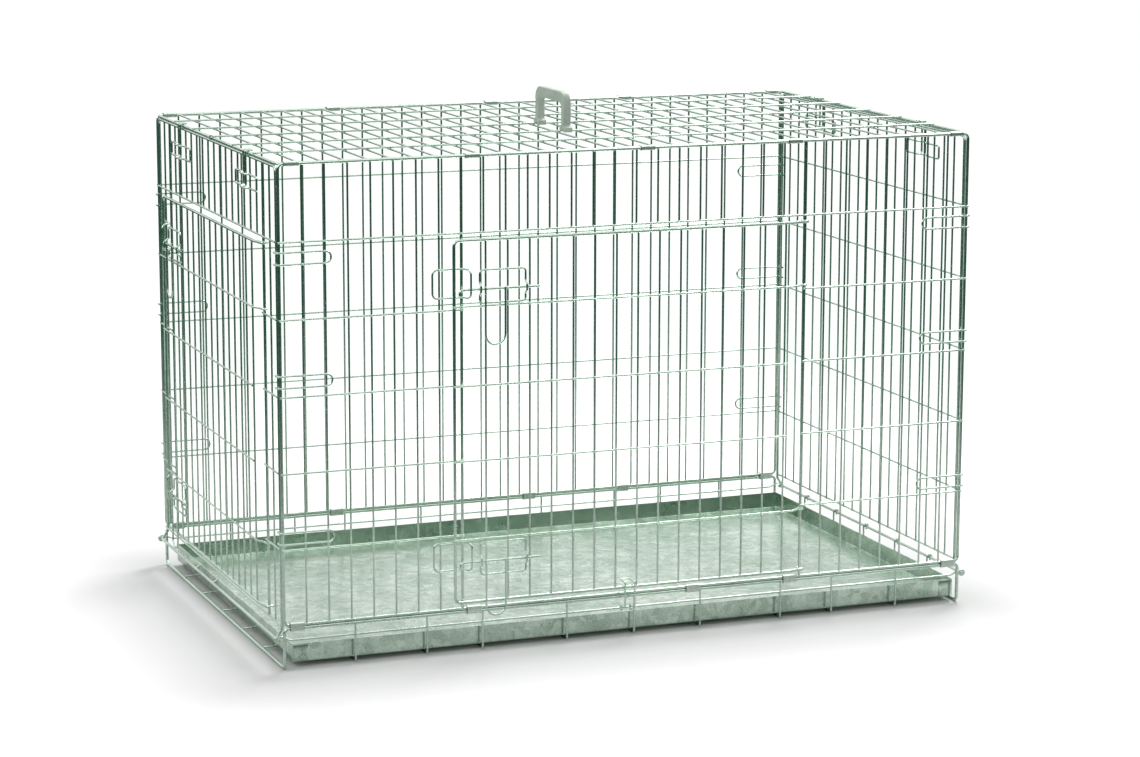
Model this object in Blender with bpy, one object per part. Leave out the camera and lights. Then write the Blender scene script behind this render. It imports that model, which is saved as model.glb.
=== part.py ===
"""Folding dog cage: wire panels on a wire base, two side-hung doors and a pull-out tray.

Metres, +Z up. X is the length, Y the depth with the front at -Y. The origin is on the floor,
under the middle of the cage.

A standing panel and all that it carries are drawn in the panel's own frame: x along the
panel, z up, -y outwards. One set of functions then makes the long panels, the end panels,
both doors and their latches.
"""

import math

import bmesh
import bpy
from mathutils import Matrix, Quaternion, Vector

# Outer size of the cage, over the panels' frames
LENGTH = 1.115
WIDTH = 0.690
HEIGHT = 0.750

# Wire diameters
RAIL = 0.0048
JAMB = 0.0044
WIRE = 0.0030
BASE_RAIL = 0.0055
ROD = 0.0040

# How deep one wire sinks into the next at a weld, the least edge kept there, and clearances
WELD = 0.0006
LEAST_EDGE = 0.00003
SEAT = 0.0004
RUNNING = 0.0005

# Mesh: bays along and across, and courses up a panel and across the top
LONG_BAYS = 32
SHORT_BAYS = 20
COURSES = 6
TOP_COURSES = 6

# Bends, measured to the wire's centre line
CORNER_RADIUS = 0.008
HOOK_RADIUS = 0.005
KINK_RADIUS = 0.0025
EYE_SIDES = 8

# Base
RIM_HEIGHT = 0.0625
MID_RAIL_HEIGHT = 0.044
CROSS_WIRE_PLACES = (0.0, 0.110, 0.246, 0.334, 0.446)
BASE_LONG_BAYS = 6

# Hinge of an end panel: its lowest rail stands out from the panel and turns in eyes
HINGE_STEP = 0.0096
HINGE_HEIGHT = 0.046
LINK_TOP = 0.0605
END_FLOOR = 0.0665
END_EASE = 0.0028
STUB_PLACES = (-0.121, -0.019)
STUB_REACH = 0.008
STUB_RISE = 0.005

# Tray
TRAY_DEPTH = 0.028
TRAY_SHEET = 0.0012
TRAY_LEFT_GAP = 0.0150
TRAY_RIGHT_GAP = 0.0025
TAB_WIDTH = 0.023
TAB_HEIGHT = 0.024
TAB_SHEET = 0.0008

# Doorways: jambs on the latch side and on the hinge side, by bay from the latch side
FRONT_JAMBS = (8, 24)
END_JAMBS = (2, 18)
DOOR_TOP_DROP = 0.010
DOOR_BOTTOM_RISE = 0.0115
STILE_OVERLAP = 0.0145
EYE_STEP = 0.0055
EYE_RUN = 0.020
EYE_LEAD = 0.006

# Latches: heights from the doorway's top and foot, the rest from the latch side's jamb
BOLT_DROP = 0.0825
BOLT_RISE = 0.0735
BOLT_START = -0.0073
BOLT_LENGTH = 0.125
BOLT_TIP = 0.0085
BRACKET_START = 0.0245
BRACKET_LENGTH = 0.072
BRACKET_ABOVE = 0.028
BRACKET_BELOW = 0.021
BRACKET_BOW = 0.005
BRACKET_RAMP = 0.005
KEEPER_BACK = 0.046
KEEPER_REACH = 0.0088
KEEPER_ABOVE = 0.030
KEEPER_BELOW = 0.0125
HANDLE_START = 0.0318
HANDLE_WIDTH = 0.031
HANDLE_DROP = 0.083
HANDLE_TOP = 0.002

# Long hooks at the panels' corners: course wire that each lies by, and height from it
CORNER_HOOKS = ((1, -0.0236), (3, 0.0226), (5, 0.0173))
CORNER_HOOK_LENGTH = 0.082
CORNER_HOOK_GAP = 0.021

# Hooks under the top panel's end rails, and the keepers that they drop through
TOP_HOOK_PLACE = 0.187
TOP_HOOK_WIDTH = 0.012
TOP_HOOK_BOTTOM = 0.697
TOP_HOOK_TAIL = 0.004
TOP_KEEPER_LENGTH = 0.112
TOP_KEEPER_WINDOW = 0.022
TOP_KEEPER_RAMP = 0.005
TOP_KEEPER_HEIGHT = 0.0205
TOP_KEEPER_BOTTOM = 0.6965

# Sleeve clips that pair the rails, by the bay that each sits in, and the end rail's saddle
CLIP_LENGTH = 0.022
CLIP_SHEET = 0.0009
CLIP_BAYS = (8, 16, 23)
SILL_CLIP_BAYS = (8, 23)
FRONT_SILL_CLIP = 0.0963
REAR_SILL_CLIP_BAY = 18
SADDLE_PLACE = 0.020
SADDLE_LENGTH = 0.011

# Hook that holds the front door's foot
DOOR_HOOK_PLACE = -0.0123
DOOR_HOOK_WIDTH = 0.0155
DOOR_HOOK_HEIGHT = 0.087
DOOR_HOOK_REACH = 0.008

# Carry handle
GRIP_PLACE = -0.0235
GRIP_WIDTH = 0.012
GRIP_HEIGHT = 0.060
GRIP_LEG = 0.012
GRIP_BAR = 0.017
GRIP_NECK = 0.009
GRIP_NECK_HEIGHT = 0.0045
GRIP_SHOULDER_HEIGHT = 0.018
GRIP_FOOT = 0.024
GRIP_FOOT_HEIGHT = 0.0035
GRIP_CORNER = 0.015

# Sections: a wire is drawn four-sided, with the area of the round wire
HALF_SIDE = math.sqrt(math.pi) / 4
HALF_RIDGE = HALF_SIDE * math.sqrt(2)
RAIL_HALF = RAIL * HALF_SIDE
RAIL_CORNER = RAIL * HALF_RIDGE
JAMB_CORNER = JAMB * HALF_RIDGE
BASE_HALF = BASE_RAIL * HALF_SIDE
WIRE_RIDGE = WIRE * HALF_RIDGE
ROD_RIDGE = ROD * HALF_RIDGE
LAYER = 2 * WIRE_RIDGE - WELD
APART = 2 * WIRE_RIDGE + SEAT

# Places of the frames
FRONT_Y = WIDTH / 2 - RAIL_HALF
POST_X = LENGTH / 2 - RAIL_HALF
BASE_X = LENGTH / 2 - BASE_HALF
HINGE_X = POST_X + HINGE_STEP
TOP_RAIL_Z = HEIGHT - RAIL_HALF
SILL_Z = RIM_HEIGHT + BASE_HALF + SEAT + RAIL_HALF
COURSE = (TOP_RAIL_Z - SILL_Z) / COURSES
MID_RAIL_Y = FRONT_Y - LAYER
END_POST = MID_RAIL_Y - WIRE_RIDGE - SEAT - RAIL_HALF - END_EASE
END_TOP_Z = TOP_RAIL_Z - 2 * RAIL_HALF - RUNNING
TOP_RAIL_Y = FRONT_Y - 2 * RAIL_HALF - SEAT
TOP_LONG_Z = TOP_RAIL_Z + LAYER
CROSS_Z = WIRE_RIDGE
BASE_LONG_Z = CROSS_Z + LAYER
TRAY_HALF = MID_RAIL_Y - WIRE_RIDGE - 2 * RAIL_HALF - 2 * SEAT
TRAY_BOTTOM = BASE_LONG_Z + WIRE_RIDGE + SEAT
HOOK_OUT = RAIL_HALF + RUNNING + WIRE_RIDGE

# Layers outwards from a panel's plane
DOOR_Y = -(APART + WIRE_RIDGE + RUNNING + RAIL_HALF)
DOOR_MESH_Y = DOOR_Y - LAYER
BRACKET_Y = DOOR_Y - APART
BOLT_Y = DOOR_Y - RAIL_HALF - RUNNING - ROD_RIDGE
CATCH_Y = BOLT_Y - ROD_RIDGE - SEAT - WIRE_RIDGE

ZINC = {"Base Color": (0.60, 0.64, 0.61, 1.0), "Metallic": 1.0, "Roughness": 0.32}
GALVANISED = {"Base Color": (0.52, 0.58, 0.53, 1.0), "Metallic": 1.0, "Roughness": 0.42}
CLIP_STEEL = {"Base Color": (0.45, 0.50, 0.47, 1.0), "Metallic": 1.0, "Roughness": 0.38}
PLASTIC = {"Base Color": (0.74, 0.77, 0.72, 1.0), "Metallic": 0.0, "Roughness": 0.45}


def clear_scene():
    for item in list(bpy.data.objects):
        bpy.data.objects.remove(item, do_unlink=True)


def finish_material(name, finish):
    """A material of its own for one piece."""
    material = bpy.data.materials.new(name)
    material.use_nodes = True
    shader = material.node_tree.nodes["Principled BSDF"]
    for socket, value in finish.items():
        shader.inputs[socket].default_value = value
    return material


def mesh_object(name, bm):
    """A linked object made from a bmesh, which is freed."""
    bmesh.ops.recalc_face_normals(bm, faces=bm.faces)
    mesh = bpy.data.meshes.new(name)
    bm.to_mesh(mesh)
    bm.free()
    item = bpy.data.objects.new(name, mesh)
    bpy.context.scene.collection.objects.link(item)
    return item


def clean_welds(mesh):
    """Closes up the hair-thin edges and faces that crossing wires can leave at a weld."""
    bm = bmesh.new()
    bm.from_mesh(mesh)
    bmesh.ops.remove_doubles(bm, verts=bm.verts, dist=LEAST_EDGE)
    bmesh.ops.dissolve_degenerate(bm, edges=bm.edges, dist=LEAST_EDGE)
    bmesh.ops.triangulate(bm, faces=bm.faces, ngon_method="BEAUTY")
    bm.to_mesh(mesh)
    bm.free()


def fuse(name, finish, *layers):
    """One closed body from layers of bars, each layer clear of itself."""
    item = mesh_object(name, layers[0])
    for layer in layers[1:]:
        helper = mesh_object(f"{name}_layer", layer)
        weld = item.modifiers.new("Weld", "BOOLEAN")
        weld.operation = "UNION"
        weld.solver = "EXACT"
        weld.object = helper
        shape = item.evaluated_get(bpy.context.evaluated_depsgraph_get())
        welded = bpy.data.meshes.new_from_object(shape)
        item.modifiers.remove(weld)
        item.data = welded
        bpy.data.objects.remove(helper, do_unlink=True)
    clean_welds(item.data)
    item.data.name = name
    item.data.materials.clear()
    item.data.materials.append(finish_material(name, finish))
    item.data.shade_smooth()
    item.data.set_sharp_from_angle(angle=math.radians(50))
    return item


def seat(item, origin, parent=None, base=(0, 0, 0)):
    """Gives a piece its own origin, and hangs it on a parent whose origin is at base."""
    item.data.transform(Matrix.Translation(-Vector(origin)))
    item.parent = parent
    item.location = Vector(origin) - Vector(base)
    return item


def section_corners(radius, flats, along, facing):
    """The four corners of a wire's section, with flats or ridges towards facing."""
    first = (facing - facing.dot(along) * along).normalized()
    second = along.cross(first)
    start = math.pi / 4 if flats else 0.0
    corners = []
    for number in range(4):
        angle = start + number * math.pi / 2
        corners.append(radius * (math.cos(angle) * first + math.sin(angle) * second))
    return corners


def add_wire(bm, points, diameter, facing, flats=False, closed=False):
    """Sweeps a wire's section along points, mitred at every bend."""
    points = [Vector(point) for point in points]
    radius = diameter * HALF_RIDGE
    count = len(points)
    legs = count if closed else count - 1
    ways = [(points[(i + 1) % count] - points[i]).normalized() for i in range(legs)]
    start = section_corners(radius, flats, ways[0], Vector(facing))
    corners = start
    rings = []
    for i in range(legs):
        before = ways[i - 1] if (i > 0 or closed) else ways[i]
        if i > 0:
            turn = before.rotation_difference(ways[i])
            corners = [turn @ corner for corner in corners]
        mitre = (before + ways[i]).normalized()
        reach = ways[i].dot(mitre)
        ring = [points[i] + c - ways[i] * (c.dot(mitre) / reach) for c in corners]
        rings.append([bm.verts.new(corner) for corner in ring])
    if closed:
        home = ways[-1].rotation_difference(ways[0]) @ corners[0]
        shift = min(range(4), key=lambda k: (start[k] - home).length)
        rings.append(rings[0][shift:] + rings[0][:shift])
    else:
        rings.append([bm.verts.new(points[-1] + corner) for corner in corners])
    for here, there in zip(rings, rings[1:]):
        for k in range(4):
            m = (k + 1) % 4
            bm.faces.new((here[k], here[m], there[m], there[k]))
    if not closed:
        bm.faces.new(reversed(rings[0]))
        bm.faces.new(rings[-1])


def rounded(points, radius, steps=1, closed=False):
    """The points with each corner replaced by an arc of straight steps."""
    points = [Vector(point) for point in points]
    count = len(points)
    path = []
    for i, corner in enumerate(points):
        if not closed and i in (0, count - 1):
            path.append(corner)
            continue
        back = (points[i - 1] - corner).normalized()
        ahead = (points[(i + 1) % count] - corner).normalized()
        half = back.angle(ahead) / 2
        centre = corner + (back + ahead).normalized() * (radius / math.sin(half))
        start = corner + back * (radius / math.tan(half)) - centre
        axis = back.cross(ahead).normalized()
        for step in range(steps + 1):
            turn = Quaternion(axis, -(math.pi - 2 * half) * step / steps)
            path.append(centre + turn @ start)
    return path


def eye_points(centre, reach, towards, across):
    """An eye of three quarters of a turn round a bar.

    The wire comes in along across, on the side that towards points to, at reach from the
    bar's centre, and curls round the bar's far side.
    """
    centre = Vector(centre)
    towards = Vector(towards)
    across = Vector(across)
    side = 2 * math.pi / EYE_SIDES
    corner = reach / math.cos(side / 2)
    points = []
    for number in range(3 * EYE_SIDES // 4):
        angle = side * (number + 0.5)
        points.append(centre + corner * (math.cos(angle) * towards + math.sin(angle) * across))
    points.append(centre - reach * across)
    return points


def add_box(bm, low, high):
    """A box between two corners."""
    low = Vector(low)
    high = Vector(high)
    place = Matrix.Translation((low + high) / 2) @ Matrix.Diagonal(high - low).to_4x4()
    bmesh.ops.create_cube(bm, size=1.0, matrix=place)


def extrusion(outline, way):
    """A closed solid from a flat outline, extruded along way."""
    bm = bmesh.new()
    face = bm.faces.new([bm.verts.new(point) for point in outline])
    swept = bmesh.ops.extrude_face_region(bm, geom=[face])["geom"]
    moved = [part for part in swept if isinstance(part, bmesh.types.BMVert)]
    bmesh.ops.translate(bm, vec=way, verts=moved)
    return bm


def course_height(course):
    """Height of a course wire, counted down from the top rail."""
    return TOP_RAIL_Z - course * COURSE


def upright_place(half, bays, number):
    """Where an upright stands along its panel."""
    return -half + number * 2 * half / bays


def latch_heights():
    """Heights of a door's two bolts."""
    return {"upper": course_height(1) - BOLT_DROP, "lower": SILL_Z + BOLT_RISE}


def add_uprights(bm, half, bays, floor, top, jambs):
    """A panel's upright wires; those above a doorway stop at the wire over it."""
    for number in range(1, bays):
        x = upright_place(half, bays, number)
        inside = jambs and jambs[0] < number < jambs[1]
        foot = course_height(1) if inside else floor
        jamb = bool(jambs) and number in jambs
        diameter = JAMB if jamb else WIRE
        add_wire(bm, [(x, 0, foot), (x, 0, top)], diameter, (0, 1, 0), flats=jamb)


def add_courses(bm, half, bays, heights, jambs):
    """A panel's level wires, in front of its uprights and cut away at a doorway."""
    end = half + RAIL_HALF - SEAT
    for z in heights:
        stretches = [(-end, end)]
        if jambs and SILL_Z < z < course_height(1) - SEAT:
            latch_side = upright_place(half, bays, jambs[0])
            hinge_side = upright_place(half, bays, jambs[1])
            stretches = [(-end, latch_side + SEAT), (hinge_side - SEAT, end)]
        for start, stop in stretches:
            add_wire(bm, [(start, -LAYER, z), (stop, -LAYER, z)], WIRE, (0, 1, 0))


def add_corner_hook(bm, side, height):
    """A long U lying on the panel, whose ends turn in round the end panel's post."""
    out = side * (POST_X + HOOK_OUT)
    root = side * (POST_X + HOOK_OUT - CORNER_HOOK_LENGTH)
    near = side * (POST_X - CORNER_RADIUS)
    turned = FRONT_Y - END_POST
    arc = CORNER_HOOK_GAP / 2
    high = height + arc
    low = height - arc
    upper = [(out, turned, high), (out, -LAYER, high), (near, -LAYER, high)]
    bow = [(near, -LAYER, high), (root, -LAYER, high), (root, -LAYER, low), (near, -LAYER, low)]
    lower = [(near, -LAYER, low), (out, -LAYER, low), (out, turned, low)]
    path = rounded(upper, KINK_RADIUS)
    path += rounded(bow, arc - SEAT, steps=2)[1:]
    path += rounded(lower, KINK_RADIUS)[1:]
    add_wire(bm, path, WIRE, (0, 0, 1))


def make_long_panel(name, jambs=None):
    """The front or rear panel with its corner hooks."""
    frame = bmesh.new()
    corners = [
        (-POST_X, 0, SILL_Z),
        (POST_X, 0, SILL_Z),
        (POST_X, 0, TOP_RAIL_Z),
        (-POST_X, 0, TOP_RAIL_Z),
    ]
    loop = rounded(corners, CORNER_RADIUS, steps=2, closed=True)
    add_wire(frame, loop, RAIL, (0, 1, 0), flats=True, closed=True)
    uprights = bmesh.new()
    add_uprights(uprights, POST_X, LONG_BAYS, SILL_Z, TOP_RAIL_Z, jambs)
    courses = bmesh.new()
    heights = [course_height(number) for number in range(1, COURSES)]
    add_courses(courses, POST_X, LONG_BAYS, heights, jambs)
    for course, offset in CORNER_HOOKS:
        for side in (-1, 1):
            add_corner_hook(courses, side, course_height(course) + offset)
    return fuse(name, ZINC, frame, uprights, courses)


def add_top_keeper(bm, place):
    """A flat loop on an end panel that swells outwards round the top panel's hook."""
    end = TOP_KEEPER_LENGTH / 2
    window = TOP_KEEPER_WINDOW / 2
    foot = window + TOP_KEEPER_RAMP
    out = -(HOOK_OUT + 2 * WIRE_RIDGE + RUNNING)
    profile = [
        (-end, -LAYER),
        (-foot, -LAYER),
        (-window, out),
        (window, out),
        (foot, -LAYER),
        (end, -LAYER),
    ]
    low = TOP_KEEPER_BOTTOM
    high = low + TOP_KEEPER_HEIGHT
    path = [(place + x, y, low) for x, y in profile]
    path += [(place + x, y, high) for x, y in reversed(profile)]
    add_wire(bm, rounded(path, KINK_RADIUS, closed=True), WIRE, (0, 0, 1), closed=True)


def make_end_panel(name, jambs=None, stubs=()):
    """An end panel: its posts step outwards at the foot to the rail that it turns on."""
    frame = bmesh.new()
    foot = -HINGE_STEP
    corners = [
        (-END_POST, 0, LINK_TOP),
        (-END_POST, 0, END_TOP_Z),
        (END_POST, 0, END_TOP_Z),
        (END_POST, 0, LINK_TOP),
    ]
    path = [Vector((-END_POST, foot, HINGE_HEIGHT))]
    path += rounded(corners, CORNER_RADIUS, steps=2)
    path.append(Vector((END_POST, foot, HINGE_HEIGHT)))
    add_wire(frame, path, RAIL, (1, 0, 0), flats=True)
    uprights = bmesh.new()
    reach = MID_RAIL_Y + WIRE_RIDGE
    axle = [(-reach, foot, HINGE_HEIGHT), (reach, foot, HINGE_HEIGHT)]
    add_wire(uprights, axle, RAIL, (0, 0, 1), flats=True)
    add_uprights(uprights, END_POST, SHORT_BAYS, END_FLOOR, END_TOP_Z, jambs)
    courses = bmesh.new()
    heights = [course_height(number) for number in range(1, COURSES)] + [END_FLOOR]
    add_courses(courses, END_POST, SHORT_BAYS, heights, jambs)
    for side in (-1, 1):
        add_top_keeper(courses, side * TOP_HOOK_PLACE)
    for place in stubs:
        tip = (place, foot + STUB_REACH, HINGE_HEIGHT + STUB_RISE)
        add_wire(courses, [(place, foot, HINGE_HEIGHT), tip], WIRE, (1, 0, 0))
    return fuse(name, ZINC, frame, uprights, courses)


def add_top_hook(bm, side, place):
    """A hairpin that lies over the end rail and hangs down outside it."""
    tail = side * (POST_X - RAIL_HALF - TOP_HOOK_TAIL)
    out = side * (POST_X + HOOK_OUT)
    over = TOP_RAIL_Z + RAIL_HALF + WIRE_RIDGE - WELD
    near = place - TOP_HOOK_WIDTH / 2
    far = place + TOP_HOOK_WIDTH / 2
    path = [
        (tail, near, over),
        (out, near, over),
        (out, near, TOP_HOOK_BOTTOM),
        (out, far, TOP_HOOK_BOTTOM),
        (out, far, over),
        (tail, far, over),
    ]
    add_wire(bm, rounded(path, KINK_RADIUS), WIRE, (0, 1, 0))


def make_top_panel():
    """The top panel, with the four hooks that hang over the end panels."""
    frame = bmesh.new()
    corners = [
        (-POST_X, -TOP_RAIL_Y, TOP_RAIL_Z),
        (POST_X, -TOP_RAIL_Y, TOP_RAIL_Z),
        (POST_X, TOP_RAIL_Y, TOP_RAIL_Z),
        (-POST_X, TOP_RAIL_Y, TOP_RAIL_Z),
    ]
    loop = rounded(corners, CORNER_RADIUS, steps=2, closed=True)
    add_wire(frame, loop, RAIL, (0, 0, 1), flats=True, closed=True)
    crossing = bmesh.new()
    for number in range(1, LONG_BAYS):
        x = upright_place(POST_X, LONG_BAYS, number)
        ends = [(x, -TOP_RAIL_Y, TOP_RAIL_Z), (x, TOP_RAIL_Y, TOP_RAIL_Z)]
        add_wire(crossing, ends, WIRE, (0, 0, 1))
    lengthwise = bmesh.new()
    end = POST_X + RAIL_HALF - SEAT
    for number in range(1, TOP_COURSES):
        y = upright_place(TOP_RAIL_Y, TOP_COURSES, number)
        add_wire(lengthwise, [(-end, y, TOP_LONG_Z), (end, y, TOP_LONG_Z)], WIRE, (0, 0, 1))
    for side_x in (-1, 1):
        for side_y in (-1, 1):
            add_top_hook(lengthwise, side_x, side_y * TOP_HOOK_PLACE)
    return fuse("top_panel", ZINC, frame, crossing, lengthwise)


def base_rail():
    """The base's rail: one closed loop, high along the sides and low across the ends."""
    bm = bmesh.new()
    corners = []
    for x, y in ((-BASE_X, -FRONT_Y), (BASE_X, -FRONT_Y), (BASE_X, FRONT_Y), (-BASE_X, FRONT_Y)):
        ends = [(x, y, RIM_HEIGHT), (x, y, BASE_HALF)]
        corners += ends if x * y < 0 else reversed(ends)
    loop = rounded(corners, CORNER_RADIUS, steps=2, closed=True)
    add_wire(bm, loop, BASE_RAIL, (1, 0, 0), flats=True, closed=True)
    return bm


def base_cross_wires():
    """Wires under the tray that rise at both ends to the base's rail."""
    bm = bmesh.new()
    places = {side * place for place in CROSS_WIRE_PLACES for side in (-1, 1)}
    for x in sorted(places):
        path = [
            (x, -FRONT_Y, RIM_HEIGHT),
            (x, -FRONT_Y, CROSS_Z),
            (x, FRONT_Y, CROSS_Z),
            (x, FRONT_Y, RIM_HEIGHT),
        ]
        add_wire(bm, rounded(path, HOOK_RADIUS), WIRE, (0, 1, 0))
    return bm


def base_long_wires():
    """Long wires under the tray and along the sides, curled round the end panels' rails."""
    bm = bmesh.new()
    reach = RAIL_CORNER + RUNNING + WIRE_RIDGE
    for number in range(1, BASE_LONG_BAYS):
        y = upright_place(WIDTH / 2, BASE_LONG_BAYS, number)
        turn = [
            (-BASE_X + SEAT, y, BASE_LONG_Z),
            (HINGE_X - reach, y, BASE_LONG_Z),
            (HINGE_X - reach, y, HINGE_HEIGHT),
        ]
        path = rounded(turn, HOOK_RADIUS)[:-1]
        path += eye_points((HINGE_X, y, HINGE_HEIGHT), reach, (-1, 0, 0), (0, 0, 1))
        add_wire(bm, path, WIRE, (0, 1, 0))
    for side in (-1, 1):
        y = side * MID_RAIL_Y
        level = HINGE_X - EYE_RUN
        right = [Vector((HINGE_X - EYE_LEAD, y, HINGE_HEIGHT + reach))]
        right += eye_points((HINGE_X, y, HINGE_HEIGHT), reach, (0, 0, 1), (1, 0, 0))
        left = [Vector((-point.x, point.y, point.z)) for point in reversed(right)]
        middle = [Vector((-level, y, MID_RAIL_HEIGHT)), Vector((level, y, MID_RAIL_HEIGHT))]
        add_wire(bm, left + middle + right, WIRE, (0, 1, 0))
    return bm


def make_base():
    """The base that the panels stand on and the end panels turn on."""
    return fuse("base_frame", ZINC, base_rail(), base_cross_wires(), base_long_wires())


def make_tray():
    """The sheet tray, with a tab lapped over its long sides at each corner."""
    low = Vector((-POST_X + TRAY_LEFT_GAP, -TRAY_HALF, TRAY_BOTTOM))
    high = Vector((POST_X - TRAY_RIGHT_GAP, TRAY_HALF, TRAY_BOTTOM + TRAY_DEPTH))
    body = bmesh.new()
    add_box(body, low, high)
    top = max(body.faces, key=lambda face: face.calc_center_median().z)
    bmesh.ops.inset_individual(body, faces=[top], thickness=TRAY_SHEET)
    hollow = bmesh.ops.extrude_face_region(body, geom=[top])["geom"]
    sunk = [part for part in hollow if isinstance(part, bmesh.types.BMVert)]
    bmesh.ops.translate(body, vec=(0, 0, TRAY_SHEET - TRAY_DEPTH), verts=sunk)
    bmesh.ops.delete(body, geom=[top], context="FACES_ONLY")
    tabs = bmesh.new()
    middle = (low.z + high.z) / 2
    for start in (low.x + TRAY_SHEET, high.x - TRAY_SHEET - TAB_WIDTH):
        for side in (-1, 1):
            sides = sorted(side * y for y in (TRAY_HALF - TRAY_SHEET / 2, TRAY_HALF + TAB_SHEET))
            foot = (start, sides[0], middle - TAB_HEIGHT / 2)
            head = (start + TAB_WIDTH, sides[1], middle + TAB_HEIGHT / 2)
            add_box(tabs, foot, head)
    return fuse("tray", GALVANISED, body, tabs)


def door_eye(hinge, z, thickness, start_y):
    """The end of a door's rail or wire: it steps back to the jamb and curls round it."""
    reach = JAMB_CORNER + RUNNING + thickness
    lead = [Vector((hinge - EYE_RUN, start_y, z)), Vector((hinge - EYE_LEAD, -reach, z))]
    return lead + eye_points((hinge, 0, z), reach, (0, -1, 0), (1, 0, 0))


def make_door(name, half, bays, jambs):
    """A side-hung door: a rail bent to a U, its uprights and its level wires."""
    hinge = upright_place(half, bays, jambs[1])
    stile = upright_place(half, bays, jambs[0]) - STILE_OVERLAP
    top = course_height(1) - DOOR_TOP_DROP
    foot = SILL_Z + DOOR_BOTTOM_RISE
    upper = door_eye(hinge, top, RAIL_HALF, DOOR_Y)
    lower = door_eye(hinge, foot, RAIL_HALF, DOOR_Y)
    corners = [upper[0], (stile, DOOR_Y, top), (stile, DOOR_Y, foot), lower[0]]
    path = upper[:0:-1] + rounded(corners, CORNER_RADIUS, steps=2) + lower[1:]
    frame = bmesh.new()
    add_wire(frame, path, RAIL, (0, 0, 1), flats=True)
    uprights = bmesh.new()
    for number in range(jambs[0] + 1, jambs[1]):
        x = upright_place(half, bays, number)
        add_wire(uprights, [(x, DOOR_Y, foot), (x, DOOR_Y, top)], WIRE, (0, 1, 0))
    courses = bmesh.new()
    start = stile - RAIL_HALF + SEAT
    for z in (course_height(2) + EYE_STEP, course_height(5) - EYE_STEP):
        curled = [Vector((start, DOOR_MESH_Y, z))] + door_eye(hinge, z, WIRE_RIDGE, DOOR_MESH_Y)
        add_wire(courses, curled, WIRE, (0, 0, 1))
    last = upright_place(half, bays, jambs[1] - 1) + WIRE
    for z in (course_height(3), course_height(4)):
        add_wire(courses, [(start, DOOR_MESH_Y, z), (last, DOOR_MESH_Y, z)], WIRE, (0, 1, 0))
    return fuse(name, ZINC, frame, uprights, courses)


def make_keeper(name, jamb, height):
    """A latch's keeper: a flat loop on the panel that swells outwards over the bolt."""
    back = jamb - KEEPER_BACK
    bend = jamb + WIRE_RIDGE
    nose = jamb + KEEPER_REACH
    high = height + KEEPER_ABOVE
    low = height - KEEPER_BELOW
    path = [
        (back, -APART, high),
        (bend, -APART, high),
        (nose, CATCH_Y, high),
        (nose, CATCH_Y, low),
        (bend, -APART, low),
        (back, -APART, low),
    ]
    bm = bmesh.new()
    add_wire(bm, rounded(path, KINK_RADIUS, closed=True), WIRE, (0, 0, 1), closed=True)
    return fuse(name, ZINC, bm)


def make_bracket(name, jamb, height):
    """A latch's bracket: a loop on the door whose sides bow outwards round the bolt."""
    left = jamb + BRACKET_START
    right = left + BRACKET_LENGTH
    bow = [
        (BRACKET_Y, BRACKET_BOW + BRACKET_RAMP),
        (CATCH_Y, BRACKET_BOW),
        (CATCH_Y, -BRACKET_BOW),
        (BRACKET_Y, -BRACKET_BOW - BRACKET_RAMP),
    ]
    path = [(left, BRACKET_Y, height + BRACKET_ABOVE), (right, BRACKET_Y, height + BRACKET_ABOVE)]
    path += [(right, y, height + rise) for y, rise in bow]
    path += [(right, BRACKET_Y, height - BRACKET_BELOW), (left, BRACKET_Y, height - BRACKET_BELOW)]
    path += [(left, y, height + rise) for y, rise in reversed(bow)]
    bm = bmesh.new()
    add_wire(bm, rounded(path, KINK_RADIUS / 2, closed=True), WIRE, (1, 0, 0), closed=True)
    return fuse(name, ZINC, bm)


def make_bolt(name, jamb, height):
    """A latch's sliding rod, its tip bent down."""
    start = jamb + BOLT_START
    path = [
        (start, BOLT_Y, height - BOLT_TIP),
        (start, BOLT_Y, height),
        (start + BOLT_LENGTH, BOLT_Y, height),
    ]
    bm = bmesh.new()
    add_wire(bm, rounded(path, HOOK_RADIUS), ROD, (0, 1, 0))
    return fuse(name, ZINC, bm)


def make_latch_handle(name, jamb, height):
    """The finger loop that hangs on a latch's rod."""
    left = jamb + HANDLE_START
    right = left + HANDLE_WIDTH
    path = [
        (left, CATCH_Y, height + HANDLE_TOP),
        (left, CATCH_Y, height - HANDLE_DROP),
        (right, CATCH_Y, height - HANDLE_DROP),
        (right, CATCH_Y, height + HANDLE_TOP),
    ]
    bm = bmesh.new()
    add_wire(bm, rounded(path, HANDLE_WIDTH / 2 - SEAT, steps=3), WIRE, (0, 1, 0))
    return fuse(name, ZINC, bm)


def fit_door(prefix, panel, base, half, bays, jambs):
    """Makes a door and both its latches, and hangs them on their panel."""
    hinge = Vector((upright_place(half, bays, jambs[1]), 0, 0))
    jamb = upright_place(half, bays, jambs[0])
    door = seat(make_door(prefix, half, bays, jambs), hinge, panel, base)
    for level, height in latch_heights().items():
        name = f"{prefix}_{level}"
        centre = Vector((jamb, BOLT_Y, height))
        seat(make_keeper(f"{name}_keeper", jamb, height), centre, panel, base)
        seat(make_bracket(f"{name}_bracket", jamb, height), centre, door, hinge)
        bolt = seat(make_bolt(f"{name}_bolt", jamb, height), centre, door, hinge)
        seat(make_latch_handle(f"{name}_handle", jamb, height), centre, bolt, centre)


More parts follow.
